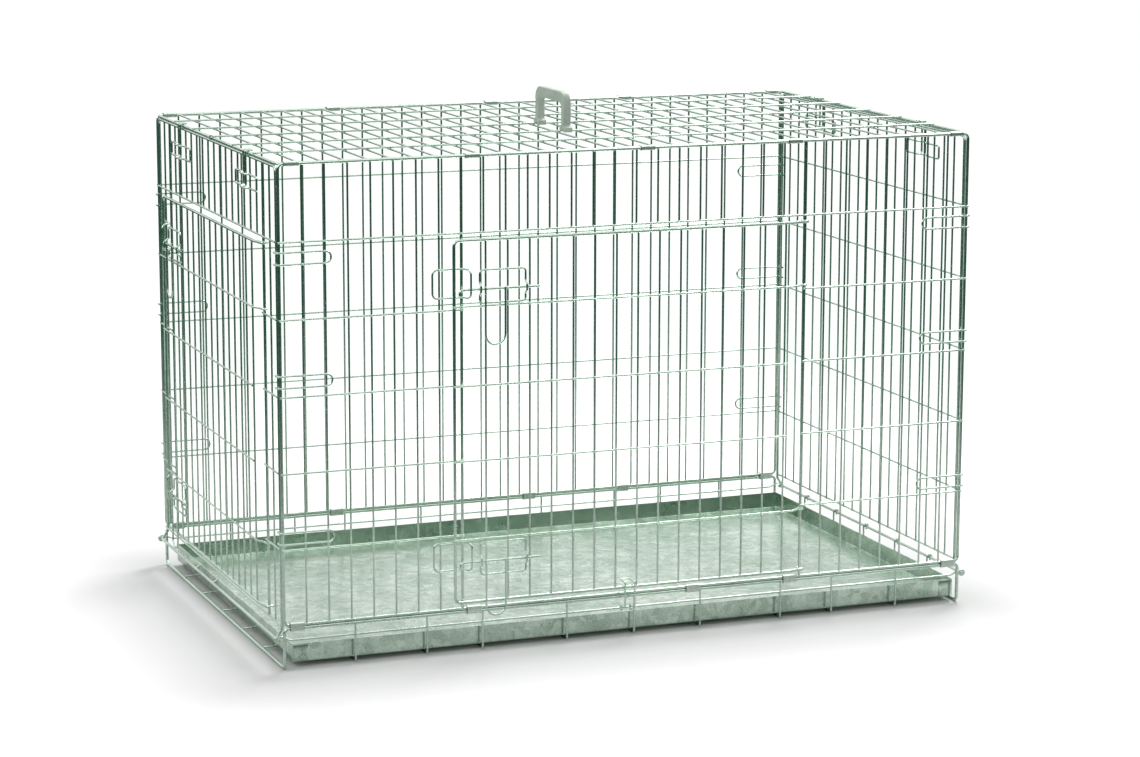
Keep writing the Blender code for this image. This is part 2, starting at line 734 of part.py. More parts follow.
def make_door_hook():
    """The hook that turns on the base's inner rail and holds the front door's foot."""
    reach = 2 * WIRE_RIDGE + RUNNING
    pivot = Vector((0, -MID_RAIL_Y, MID_RAIL_HEIGHT))
    out = -FRONT_Y + DOOR_Y - RAIL_HALF - RUNNING - WIRE_RIDGE
    turned_in = -FRONT_Y + DOOR_HOOK_REACH
    left = DOOR_HOOK_PLACE - DOOR_HOOK_WIDTH / 2
    right = DOOR_HOOK_PLACE + DOOR_HOOK_WIDTH / 2
    eye = eye_points(pivot, reach, (0, 0, 1), (0, 1, 0))
    leg = [(out, eye[0].z), (out, DOOR_HOOK_HEIGHT), (turned_in, DOOR_HOOK_HEIGHT)]
    corners = [(left, eye[0].y, eye[0].z)]
    corners += [(left, y, z) for y, z in leg]
    corners += [(right, y, z) for y, z in reversed(leg)]
    corners.append((right, eye[0].y, eye[0].z))
    path = [Vector((left, point.y, point.z)) for point in reversed(eye[1:])]
    path += rounded(corners, KINK_RADIUS)
    path += [Vector((right, point.y, point.z)) for point in eye[1:]]
    bm = bmesh.new()
    add_wire(bm, path, WIRE, (1, 0, 0))
    return seat(fuse("door_hook", ZINC, bm), pivot)


def make_sleeve(name, low, high):
    """A rectangular sleeve clip, open at both ends along X."""
    bm = bmesh.new()
    add_box(bm, low, high)
    ends = sorted(bm.faces, key=lambda face: abs(face.calc_center_median().x))[-2:]
    bmesh.ops.inset_individual(bm, faces=ends, thickness=CLIP_SHEET)
    edges = [edge for face in ends for edge in face.edges]
    bmesh.ops.delete(bm, geom=ends, context="FACES_ONLY")
    bmesh.ops.bridge_loops(bm, edges=edges)
    return fuse(name, CLIP_STEEL, bm)


def make_clips():
    """The sleeves that pair the long panels' rails with the top's and with the base's."""
    wrap = SEAT + CLIP_SHEET
    corner = POST_X - CORNER_RADIUS - RUNNING - CLIP_LENGTH / 2
    top_places = [upright_place(POST_X, LONG_BAYS, bay + 0.5) for bay in CLIP_BAYS]
    sill_places = [upright_place(POST_X, LONG_BAYS, bay + 0.5) for bay in SILL_CLIP_BAYS]
    rear_middle = upright_place(POST_X, LONG_BAYS, REAR_SILL_CLIP_BAY + 0.5)
    top_depth = (TOP_RAIL_Y - RAIL_HALF - wrap, FRONT_Y + RAIL_HALF + wrap)
    top_rise = (TOP_RAIL_Z - RAIL_HALF - wrap, TOP_RAIL_Z + RAIL_HALF + wrap)
    sill_depth = (FRONT_Y - BASE_HALF - wrap, FRONT_Y + BASE_HALF + wrap)
    sill_rise = (RIM_HEIGHT - BASE_HALF - wrap, SILL_Z + RAIL_HALF + wrap)
    for side, sign, middle in (("front", -1, FRONT_SILL_CLIP), ("rear", 1, rear_middle)):
        rows = {
            "top": (top_places, top_depth, top_rise),
            "sill": ([*sill_places, middle], sill_depth, sill_rise),
        }
        for row, (places, depth, rise) in rows.items():
            near, far = sorted(sign * y for y in depth)
            for number, x in enumerate(sorted([-corner, *places, corner]), start=1):
                low = (-CLIP_LENGTH / 2, near, rise[0])
                high = (CLIP_LENGTH / 2, far, rise[1])
                clip = make_sleeve(f"clip_{side}_{row}_{number}", low, high)
                clip.location.x = x


def make_saddle():
    """The saddle pressed over the top panel's left end rail."""
    inner = RAIL_HALF + SEAT
    outer = inner + CLIP_SHEET
    outside = [(outer, -RAIL_HALF), (outer, outer), (-outer, outer), (-outer, -RAIL_HALF)]
    inside = [(-inner, -RAIL_HALF), (-inner, inner), (inner, inner), (inner, -RAIL_HALF)]
    start = SADDLE_PLACE - SADDLE_LENGTH / 2
    outline = [(x - POST_X, start, z + TOP_RAIL_Z) for x, z in outside + inside]
    bm = extrusion(outline, (0, SADDLE_LENGTH, 0))
    return seat(fuse("saddle", CLIP_STEEL, bm), (-POST_X, SADDLE_PLACE, TOP_RAIL_Z))


def grip_foot(side, span):
    """Half of the carry handle's foot on one long wire, from its neck to its slot."""
    wide = GRIP_FOOT / 2
    slot = WIRE_RIDGE + SEAT
    head = slot + GRIP_FOOT_HEIGHT
    return [
        (span + side * GRIP_NECK / 2, head + GRIP_NECK_HEIGHT),
        (span + side * wide, head),
        (span + side * wide, -WIRE_RIDGE),
        (span + side * slot, -WIRE_RIDGE),
        (span + side * slot, slot),
    ]


def make_carry_handle():
    """The plastic handle: a flat arch whose feet clasp two long wires of the top."""
    span = TOP_RAIL_Y / TOP_COURSES
    leg = GRIP_LEG / 2
    shoulder = WIRE_RIDGE + GRIP_FOOT_HEIGHT + GRIP_SHOULDER_HEIGHT
    soffit = GRIP_HEIGHT - GRIP_BAR
    outside = [
        (-span - leg, shoulder, 0),
        (-span - leg, GRIP_HEIGHT, 0),
        (span + leg, GRIP_HEIGHT, 0),
        (span + leg, shoulder, 0),
    ]
    inside = [
        (span - leg, shoulder, 0),
        (span - leg, soffit, 0),
        (-span + leg, soffit, 0),
        (-span + leg, shoulder, 0),
    ]
    outline = [(p.x, p.y) for p in rounded(outside, GRIP_CORNER, steps=4)]
    outline += grip_foot(1, span)
    outline += reversed(grip_foot(-1, span))
    outline += [(p.x, p.y) for p in rounded(inside, GRIP_CORNER - leg, steps=3)]
    outline += grip_foot(1, -span)
    outline += reversed(grip_foot(-1, -span))
    start = GRIP_PLACE - GRIP_WIDTH / 2
    points = [(start, y - span, z + TOP_LONG_Z) for y, z in outline]
    bm = extrusion(points, (GRIP_WIDTH, 0, 0))
    return seat(fuse("carry_handle", PLASTIC, bm), (GRIP_PLACE, -span, TOP_LONG_Z))


def main():
    clear_scene()
    make_base()
    make_top_panel()
    make_tray()
    make_carry_handle()
    make_door_hook()
    make_saddle()
    make_clips()

    front = make_long_panel("front_panel", FRONT_JAMBS)
    front.location = (0, -FRONT_Y, 0)
    fit_door("front_door", front, (0, 0, 0), POST_X, LONG_BAYS, FRONT_JAMBS)
    rear = make_long_panel("rear_panel")
    rear.location = (0, FRONT_Y, 0)
    rear.rotation_euler.z = math.pi

    foot = (0, -HINGE_STEP, HINGE_HEIGHT)
    left = seat(make_end_panel("left_end_panel", END_JAMBS, STUB_PLACES), foot)
    left.location = (-HINGE_X, 0, HINGE_HEIGHT)
    left.rotation_euler.z = -math.pi / 2
    fit_door("end_door", left, foot, END_POST, SHORT_BAYS, END_JAMBS)
    right = seat(make_end_panel("right_end_panel"), foot)
    right.location = (HINGE_X, 0, HINGE_HEIGHT)
    right.rotation_euler.z = math.pi / 2


main()
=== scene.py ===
"""Looks of the folding dog cage: round drawn wire, folded sheet and moulded plastic.

Metres, +Z up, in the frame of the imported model. A standing panel and all that it carries are
drawn in the panel's own frame, x along the panel, z up, -y outwards, and then put in place.
"""

from __future__ import annotations

import logging
import math
from dataclasses import dataclass, field
from enum import Enum
from typing import Sequence

import bmesh
import bpy
from mathutils import Matrix, Vector


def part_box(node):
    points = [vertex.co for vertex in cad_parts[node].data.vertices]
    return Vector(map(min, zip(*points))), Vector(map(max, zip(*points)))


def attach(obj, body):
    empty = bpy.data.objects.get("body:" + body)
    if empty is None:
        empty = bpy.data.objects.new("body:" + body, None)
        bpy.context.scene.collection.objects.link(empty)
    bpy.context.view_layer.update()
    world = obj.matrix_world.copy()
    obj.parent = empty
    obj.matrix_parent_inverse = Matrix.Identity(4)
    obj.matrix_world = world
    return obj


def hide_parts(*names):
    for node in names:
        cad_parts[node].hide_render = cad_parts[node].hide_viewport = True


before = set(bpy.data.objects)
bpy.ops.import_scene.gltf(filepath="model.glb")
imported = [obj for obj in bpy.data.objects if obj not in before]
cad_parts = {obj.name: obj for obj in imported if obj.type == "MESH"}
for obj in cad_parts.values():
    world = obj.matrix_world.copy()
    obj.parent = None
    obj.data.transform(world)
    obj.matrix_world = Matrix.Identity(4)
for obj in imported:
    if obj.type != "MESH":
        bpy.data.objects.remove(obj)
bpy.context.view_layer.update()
LOG = logging.getLogger("cage")

Colour = tuple[float, float, float]
Point = tuple[float, float, float]


class Side(Enum):
    """The four standing panels, by the turn about Z that puts each in place."""

    FRONT = 0.0
    REAR = 180.0
    LEFT = -90.0
    RIGHT = 90.0


@dataclass(frozen=True)
class Layout:
    """Sizes and places that several sub-assemblies share, in metres.

    lay is the distance between the centre lines of two welded wires. The layers are counted
    outwards from a panel's plane.
    """

    rail: float = 0.00465
    jamb: float = 0.0044
    wire: float = 0.0030
    base_rail: float = 0.0052
    rod: float = 0.0040
    lay: float = 0.0027
    play: float = 0.0003
    corner: float = 0.008
    kink: float = 0.0025
    hook_bend: float = 0.005

    front_y: float = 0.342873
    post_x: float = 0.555373
    base_x: float = 0.555063
    hinge_x: float = 0.564973
    hinge_z: float = 0.046
    end_post: float = 0.332506
    end_top_z: float = 0.743119
    end_floor_z: float = 0.0665
    sill_z: float = 0.067464
    rim_z: float = 0.0625
    mid_z: float = 0.044
    top_z: float = 0.747873
    top_y: float = 0.338219
    course: float = 0.1134015

    door_layer: float = 0.008667
    bolt_layer: float = 0.0138
    catch_layer: float = 0.0177
    handle_layer: float = 0.0168

    def course_z(self, number: int) -> float:
        """Height of a course wire, counted down from the top rail."""
        return self.top_z - number * self.course

    @property
    def latch_heights(self) -> dict[str, float]:
        """Heights of a door's two bolts."""
        return {"upper": self.course_z(1) - 0.0825, "lower": self.sill_z + 0.0735}

    def panel_matrix(self, side: Side) -> Matrix:
        """The matrix that puts a panel's own frame in place.

        Args:
            side: Which panel.

        Returns:
            A turn about Z, and the distance from the middle.
        """
        out = self.front_y if side in (Side.FRONT, Side.REAR) else self.post_x
        turn = Matrix.Rotation(math.radians(side.value), 4, "Z")
        return turn @ Matrix.Translation((0, -out, 0))


LAYOUT = Layout()


@dataclass(frozen=True)
class Turn:
    """A corner of a wire's path, with the radius of its bend to the wire's centre line."""

    point: Vector
    radius: float = 0.0


def turns(points: Sequence[Point], radius: float) -> list[Turn]:
    """A path whose corners all bend to one radius.

    Args:
        points: The path's corners and ends.
        radius: Radius of every bend.

    Returns:
        The path.
    """
    return [Turn(Vector(point), radius) for point in points]


def eye(centre: Point, reach: float, towards: Point, across: Point) -> list[Turn]:
    """An eye of three quarters of a turn round a bar.

    Args:
        centre: The bar's centre.
        reach: Distance from the bar's centre line to the wire's.
        towards: The side on which the wire comes in.
        across: The way that the wire runs when it comes in.

    Returns:
        The eye's corners and its end.
    """
    middle = Vector(centre)
    side = Vector(towards) * reach
    along = Vector(across) * reach
    corners = [middle + side + along, middle - side + along, middle - side - along]
    return [Turn(corner, reach * 0.999) for corner in corners] + [Turn(middle - along)]


class WireWork:
    """Round wires that make up one piece."""

    def __init__(self) -> None:
        """Starts with no wire."""
        self.mesh = bmesh.new()

    def straight(self, start: Point, end: Point, diameter: float, sides: int = 12) -> None:
        """Adds a straight wire.

        Args:
            start: One end of its centre line.
            end: The other end.
            diameter: The wire's diameter.
            sides: Faces round the wire.
        """
        way = Vector(end) - Vector(start)
        middle = Matrix.Translation((Vector(start) + Vector(end)) / 2)
        place = middle @ way.to_track_quat("Z", "Y").to_matrix().to_4x4()
        bmesh.ops.create_cone(
            self.mesh,
            cap_ends=True,
            segments=sides,
            radius1=diameter / 2,
            radius2=diameter / 2,
            depth=way.length,
            matrix=place,
        )

    def bent(
        self, path: Sequence[Turn], diameter: float, closed: bool = False, sides: int = 12
    ) -> None:
        """Adds a bent wire: a circle extruded along each leg and spun round each bend.

        Args:
            path: Its corners, and its ends unless it is closed.
            diameter: The wire's diameter.
            closed: True for a loop, which is joined in the middle of its last leg.
            sides: Faces round the wire.
        """
        path = list(path)
        if closed:
            joint = Turn((path[-1].point + path[0].point) / 2)
            path = [joint, *path, joint]
        way = (path[1].point - path[0].point).normalized()
        place = Matrix.Translation(path[0].point) @ way.to_track_quat("Z", "Y").to_matrix().to_4x4()
        ring = bmesh.ops.create_circle(
            self.mesh,
            cap_ends=not closed,
            segments=sides,
            radius=diameter / 2,
            matrix=place,
        )
        first = list({edge for vert in ring["verts"] for edge in vert.link_edges})
        edges = first
        here = path[0].point
        for before, corner, after in zip(path, path[1:], path[2:]):
            back = (before.point - corner.point).normalized()
            ahead = (after.point - corner.point).normalized()
            half = back.angle(ahead) / 2
            cut = corner.radius / math.tan(half)
            edges = self._push(edges, corner.point + back * cut - here)
            centre = corner.point + (back + ahead).normalized() * (corner.radius / math.sin(half))
            turned = math.pi - 2 * half
            edges = self._curl(edges, centre, ahead.cross(back), turned)
            here = corner.point + ahead * cut
        seam = 0.0004 if closed else 0.0
        last = path[-1].point - here
        edges = self._push(edges, last - last.normalized() * seam)
        if closed:
            bmesh.ops.bridge_loops(self.mesh, edges=first + edges)
        else:
            bmesh.ops.contextual_create(self.mesh, geom=edges)

    def _push(self, edges: list, way: Vector) -> list:
        """Extrudes a ring along a straight leg and gives the new ring."""
        if way.length < 1e-6:
            return edges
        made = bmesh.ops.extrude_edge_only(self.mesh, edges=edges)["geom"]
        verts = [part for part in made if isinstance(part, bmesh.types.BMVert)]
        bmesh.ops.translate(self.mesh, verts=verts, vec=way)
        fresh = set(verts)
        return [
            part
            for part in made
            if isinstance(part, bmesh.types.BMEdge) and set(part.verts) <= fresh
        ]

    def _curl(self, edges: list, centre: Vector, axis: Vector, angle: float) -> list:
        """Spins a ring round a bend and gives the new ring."""
        steps = max(2, math.ceil(angle / math.radians(15)))
        verts = list({vert for edge in edges for vert in edge.verts})
        made = bmesh.ops.spin(
            self.mesh,
            geom=verts + edges,
            cent=centre,
            axis=axis.normalized(),
            angle=angle,
            steps=steps,
            use_merge=False,
        )["geom_last"]
        return [part for part in made if isinstance(part, bmesh.types.BMEdge)]


def mottle_group() -> bpy.types.NodeTree:
    """The node group for cloudy and fine variation, shared by every finish.

    Returns:
        A group that puts out a cloud mask, a speck mask and a grain height.
    """
    group = bpy.data.node_groups.new("surface_mottle", "ShaderNodeTree")
    for name, socket, value in (("Cloud Scale", "NodeSocketFloat", 9.0), ("Speck Scale", "NodeSocketFloat", 260.0)):
        made = group.interface.new_socket(name, in_out="INPUT", socket_type=socket)
        made.default_value = value
    for name in ("Cloud", "Speck", "Grain"):
        group.interface.new_socket(name, in_out="OUTPUT", socket_type="NodeSocketFloat")
    nodes, links = group.nodes, group.links
    inputs = nodes.new("NodeGroupInput")
    outputs = nodes.new("NodeGroupOutput")
    place = nodes.new("ShaderNodeTexCoord")
    for socket, detail, low, high in (("Cloud", 4.0, 0.36, 0.66), ("Speck", 2.0, 0.42, 0.62)):
        noise = nodes.new("ShaderNodeTexNoise")
        noise.inputs["Detail"].default_value = detail
        spread = nodes.new("ShaderNodeMapRange")
        spread.inputs["From Min"].default_value = low
        spread.inputs["From Max"].default_value = high
        links.new(place.outputs["Object"], noise.inputs["Vector"])
        links.new(inputs.outputs[f"{socket} Scale"], noise.inputs["Scale"])
        links.new(noise.outputs["Fac"], spread.inputs["Value"])
        links.new(spread.outputs["Result"], outputs.inputs[socket])
    grain = nodes.new("ShaderNodeTexNoise")
    grain.inputs["Scale"].default_value = 900.0
    grain.inputs["Detail"].default_value = 3.0
    links.new(place.outputs["Object"], grain.inputs["Vector"])
    links.new(grain.outputs["Fac"], outputs.inputs["Grain"])
    return group


def spangle_group() -> bpy.types.NodeTree:
    """The node group for the crystals of hot-dip galvanising.

    Returns:
        A group that puts out a tone that differs from crystal to crystal.
    """
    group = bpy.data.node_groups.new("zinc_spangle", "ShaderNodeTree")
    made = group.interface.new_socket("Crystals", in_out="INPUT", socket_type="NodeSocketFloat")
    made.default_value = 90.0
    group.interface.new_socket("Tone", in_out="OUTPUT", socket_type="NodeSocketFloat")
    nodes, links = group.nodes, group.links
    inputs = nodes.new("NodeGroupInput")
    outputs = nodes.new("NodeGroupOutput")
    place = nodes.new("ShaderNodeTexCoord")
    warp = nodes.new("ShaderNodeTexNoise")
    warp.inputs["Scale"].default_value = 60.0
    bend = nodes.new("ShaderNodeVectorMath")
    bend.operation = "MULTIPLY_ADD"
    bend.inputs[1].default_value = (0.012, 0.012, 0.012)
    cells = nodes.new("ShaderNodeTexVoronoi")
    cells.feature = "F1"
    split = nodes.new("ShaderNodeSeparateColor")
    links.new(place.outputs["Object"], warp.inputs["Vector"])
    links.new(warp.outputs["Color"], bend.inputs[0])
    links.new(place.outputs["Object"], bend.inputs[2])
    links.new(bend.outputs["Vector"], cells.inputs["Vector"])
    links.new(inputs.outputs["Crystals"], cells.inputs["Scale"])
    links.new(cells.outputs["Color"], split.inputs["Color"])
    links.new(split.outputs["Red"], outputs.inputs["Tone"])
    return group


class Effects:
    """The node groups, each made the first time that a finish asks for it."""

    _made: dict[str, bpy.types.NodeTree] = {}

    @classmethod
    def mottle(cls) -> bpy.types.NodeTree:
        """The group for cloudy and fine variation."""
        return cls._made.setdefault("mottle", None) or cls._keep("mottle", mottle_group())

    @classmethod
    def spangle(cls) -> bpy.types.NodeTree:
        """The group for galvanised crystals."""
        return cls._made.setdefault("spangle", None) or cls._keep("spangle", spangle_group())

    @classmethod
    def _keep(cls, name: str, group: bpy.types.NodeTree) -> bpy.types.NodeTree:
        """Keeps a group for the next finish."""
        cls._made[name] = group
        return group


@dataclass(frozen=True)
class Finish:
    """A surface finish, from two tones that a mask mixes.

    Attributes:
        slot: The record's material slot.
        light: Tone of the bright places.
        dark: Tone of the dull places.
        metallic: 1 for bare metal.
        smooth: Lowest roughness.
        rough: Highest roughness.
        clouds: Cloud scale.
        specks: Speck scale.
        bump: Height of the grain, in metres.
        spangle: How much of the tone comes from galvanised crystals.
    """

    slot: str
    light: Colour
    dark: Colour
    metallic: float
    smooth: float
    rough: float
    clouds: float = 9.0
    specks: float = 260.0
    bump: float = 0.00002
    spangle: float = 0.0

    def material(self) -> bpy.types.Material:
        """Builds the material once, and finds it again for the next piece."""
        known = bpy.data.materials.get(f"{self.slot}_finish")
        if known:
            return known
        made = bpy.data.materials.new(f"{self.slot}_finish")
        made.use_nodes = True
        nodes, links = made.node_tree.nodes, made.node_tree.links
        shader = nodes["Principled BSDF"]
        shader.inputs["Metallic"].default_value = self.metallic
        mottle = nodes.new("ShaderNodeGroup")
        mottle.node_tree = Effects.mottle()
        mottle.inputs["Cloud Scale"].default_value = self.clouds
        mottle.inputs["Speck Scale"].default_value = self.specks
        tone = self._mixed(nodes, links, mottle.outputs["Cloud"], mottle.outputs["Speck"], 0.4)
        if self.spangle:
            crystals = nodes.new("ShaderNodeGroup")
            crystals.node_tree = Effects.spangle()
            tone = self._mixed(nodes, links, tone, crystals.outputs["Tone"], self.spangle)
        colour = nodes.new("ShaderNodeMix")
        colour.data_type = "RGBA"
        colour.inputs["A"].default_value = (*self.dark, 1.0)
        colour.inputs["B"].default_value = (*self.light, 1.0)
        links.new(tone, colour.inputs["Factor"])
        links.new(colour.outputs["Result"], shader.inputs["Base Color"])
        gloss = nodes.new("ShaderNodeMapRange")
        gloss.inputs["To Min"].default_value = self.rough
        gloss.inputs["To Max"].default_value = self.smooth
        links.new(tone, gloss.inputs["Value"])
        links.new(gloss.outputs["Result"], shader.inputs["Roughness"])
        bump = nodes.new("ShaderNodeBump")
        bump.inputs["Distance"].default_value = self.bump
        links.new(mottle.outputs["Grain"], bump.inputs["Height"])
        links.new(bump.outputs["Normal"], shader.inputs["Normal"])
        return made

    @staticmethod
    def _mixed(nodes, links, first, second, share: float):
        """A mask that is partly one mask and partly another."""
        mix = nodes.new("ShaderNodeMix")
        mix.inputs["Factor"].default_value = share
        links.new(first, mix.inputs["A"])
        links.new(second, mix.inputs["B"])
        return mix.outputs["Result"]


ZINC = Finish("zinc_wire", (0.66, 0.79, 0.69), (0.46, 0.56, 0.49), 1.0, 0.12, 0.30)
SHEET = Finish(
    "galvanised_sheet",
    (0.76, 0.87, 0.77),
    (0.28, 0.40, 0.31),
    1.0,
    0.13,
    0.30,
    clouds=14.0,
    specks=420.0,
    bump=0.00004,
    spangle=0.38,
)
CLIP = Finish("clip_steel", (0.74, 0.82, 0.75), (0.48, 0.57, 0.50), 1.0, 0.38, 0.55)
GRIP = Finish(
    "grip_plastic",
    (0.70, 0.78, 0.69),
    (0.56, 0.65, 0.56),
    0.0,
    0.38,
    0.52,
    clouds=30.0,
    specks=900.0,
    bump=0.00006,
)


def place_piece(
    shape: bmesh.types.BMesh,
    name: str,
    finish: Finish,
    body: str,
    nodes: Sequence[str],
    where: Matrix | None = None,
    sharp: float = 40.0,
) -> bpy.types.Object:
    """Makes a finished piece from its mesh and hands it to the frame.

    Args:
        shape: The mesh, which is freed.
        name: The piece's name.
        finish: Its finish.
        body: The body that it rides on.
        nodes: The nodes that it stands for.
        where: What puts the mesh in place.
        sharp: Edges that turn by more than this stay sharp, in degrees.

    Returns:
        The piece.
    """
    if where is not None:
        bmesh.ops.transform(shape, matrix=where, verts=shape.verts)
    bmesh.ops.recalc_face_normals(shape, faces=shape.faces)
    mesh = bpy.data.meshes.new(name)
    shape.to_mesh(mesh)
    shape.free()
    mesh.shade_smooth()
    mesh.set_sharp_from_angle(angle=math.radians(sharp))
    mesh.materials.append(finish.material())
    piece = bpy.data.objects.new(name, mesh)
    bpy.context.scene.collection.objects.link(piece)
    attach(piece, body)
    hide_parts(*nodes)
    LOG.info("%s: %d faces, rides on %s", name, len(mesh.polygons), body)
    return piece


def spaced(half: float, bays: int, number: float) -> float:
    """Where an upright stands along its panel.

    Args:
        half: Half of the panel's length, to its posts.
        bays: Bays along the panel.
        number: The upright, counted from the left, or a place between two.

    Returns:
        Its place along the panel.
    """
    return -half + number * 2 * half / bays


@dataclass
class Panel:
    """What the standing panels share: uprights, and course wires in front of them."""

    side: Side
    half: float
    bays: int
    jambs: tuple[int, int] | None = None

    def place(self, number: float) -> float:
        """Where an upright stands along this panel."""
        return spaced(self.half, self.bays, number)

    def add_uprights(self, work: WireWork, floor: float, top: float) -> None:
        """Adds the uprights; those above a doorway stop at the wire over it.

        Args:
            work: The wires to add to.
            floor: Height of the uprights' feet.
            top: Height of their tops.
        """
        for number in range(1, self.bays):
            x = self.place(number)
            inside = self.jambs and self.jambs[0] < number < self.jambs[1]
            foot = LAYOUT.course_z(1) - LAYOUT.wire / 2 if inside else floor
            jamb = self.jambs and number in self.jambs
            work.straight((x, 0, foot), (x, 0, top), LAYOUT.jamb if jamb else LAYOUT.wire)

    def add_courses(self, work: WireWork, heights: Sequence[float]) -> None:
        """Adds the course wires, cut away at a doorway.

        Args:
            work: The wires to add to.
            heights: Their heights.
        """
        end = self.half + LAYOUT.rail / 2
        y = -LAYOUT.lay
        for z in heights:
            stretches = [(-end, end)]
            if self.jambs and LAYOUT.sill_z < z < LAYOUT.course_z(1) - 0.001:
                reach = LAYOUT.jamb / 2
                first, last = (self.place(number) for number in self.jambs)
                stretches = [(-end, first + reach), (last - reach, end)]
            for start, stop in stretches:
                work.straight((start, y, z), (stop, y, z), LAYOUT.wire)


@dataclass
class LongPanel(Panel):
    """The front or rear panel: a closed rail, its mesh and the hooks at its corners."""

    half: float = LAYOUT.post_x
    bays: int = 32
    hooks: tuple[tuple[int, float], ...] = ((1, -0.0236), (3, 0.0226), (5, 0.0173))
    hook_length: float = 0.082
    hook_gap: float = 0.0175
    hook_out: float = 0.0045

    def add_corner_hook(self, work: WireWork, hand: int, height: float) -> None:
        """Adds a long U that lies on the panel and turns in round the end panel's post.

        Args:
            work: The wires to add to.
            hand: -1 or 1, the corner that it is at.
            height: Its middle's height.
        """
        out = hand * (self.half + self.hook_out)
        root = hand * (self.half + self.hook_out - self.hook_length)
        tip = LAYOUT.front_y - LAYOUT.end_post
        arc = self.hook_gap / 2
        y = -LAYOUT.lay
        path = turns([(out, tip, height + arc), (out, y, height + arc)], LAYOUT.kink)
        path += turns([(root, y, height + arc), (root, y, height - arc)], arc * 0.97)
        path += turns([(out, y, height - arc), (out, tip, height - arc)], LAYOUT.kink)
        work.bent(path, LAYOUT.wire)

    def build(self, name: str) -> bpy.types.Object:
        """Builds the panel.

        Args:
            name: The node that it stands for.

        Returns:
            The piece.
        """
        low, high, half = LAYOUT.sill_z, LAYOUT.top_z, self.half
        work = WireWork()
        corners = [(-half, 0, low), (half, 0, low), (half, 0, high), (-half, 0, high)]
        work.bent(turns(corners, LAYOUT.corner), LAYOUT.rail, closed=True, sides=16)
        self.add_uprights(work, low, high)
        self.add_courses(work, [LAYOUT.course_z(number) for number in range(1, 6)])
        for course, offset in self.hooks:
            for hand in (-1, 1):
                self.add_corner_hook(work, hand, LAYOUT.course_z(course) + offset)
        where = LAYOUT.panel_matrix(self.side)
        return place_piece(work.mesh, f"{name}_wire", ZINC, "cage", [name], where)


@dataclass
class EndPanel(Panel):
    """An end panel: its posts step outwards at the foot to the rail that it turns on."""

    half: float = LAYOUT.end_post
    bays: int = 20
    step: float = 0.0096
    link_top: float = 0.0605
    axle_reach: float = 0.3416
    keeper_place: float = 0.187
    keeper_length: float = 0.112
    keeper_window: float = 0.022
    keeper_ramp: float = 0.005
    keeper_low: float = 0.6965
    keeper_height: float = 0.0205
    keeper_out: float = 0.0085
    stubs: tuple[float, ...] = ()

    def add_keeper(self, work: WireWork, place: float) -> None:
        """Adds a flat loop that swells outwards round the top panel's hook.

        Args:
            work: The wires to add to.
            place: Its middle, along the panel.
        """
        end = self.keeper_length / 2
        window = self.keeper_window / 2
        foot = window + self.keeper_ramp
        flat, out = -LAYOUT.lay, -self.keeper_out
        half_way = [(-end, flat), (-foot, flat), (-window, out), (window, out), (foot, flat), (end, flat)]
        low = self.keeper_low
        high = low + self.keeper_height
        lower = [(place + x, y, low) for x, y in half_way]
        upper = [(place + x, y, high) for x, y in reversed(half_way)]
        work.bent(turns(lower + upper, LAYOUT.kink), LAYOUT.wire, closed=True)

    def build(self, name: str, body: str) -> bpy.types.Object:
        """Builds the panel.

        Args:
            name: The node that it stands for.
            body: The body that it rides on.

        Returns:
            The piece.
        """
        half, foot, axle = self.half, -self.step, LAYOUT.hinge_z
        work = WireWork()
        path = [Turn(Vector((-half, foot, axle)))]
        path += turns([(-half, 0, self.link_top)], 0.006)
        path += turns([(-half, 0, LAYOUT.end_top_z), (half, 0, LAYOUT.end_top_z)], LAYOUT.corner)
        path += turns([(half, 0, self.link_top)], 0.006)
        path += [Turn(Vector((half, foot, axle)))]
        work.bent(path, LAYOUT.rail, sides=16)
        reach = self.axle_reach
        work.straight((-reach, foot, axle), (reach, foot, axle), LAYOUT.rail, sides=16)
        self.add_uprights(work, LAYOUT.end_floor_z, LAYOUT.end_top_z)
        heights = [LAYOUT.course_z(number) for number in range(1, 6)]
        self.add_courses(work, [*heights, LAYOUT.end_floor_z])
        for hand in (-1, 1):
            self.add_keeper(work, hand * self.keeper_place)
        for x in self.stubs:
            work.straight((x, foot, axle), (x, foot + 0.008, axle + 0.005), LAYOUT.wire)
        where = LAYOUT.panel_matrix(self.side)
        return place_piece(work.mesh, f"{name}_wire", ZINC, body, [name], where)


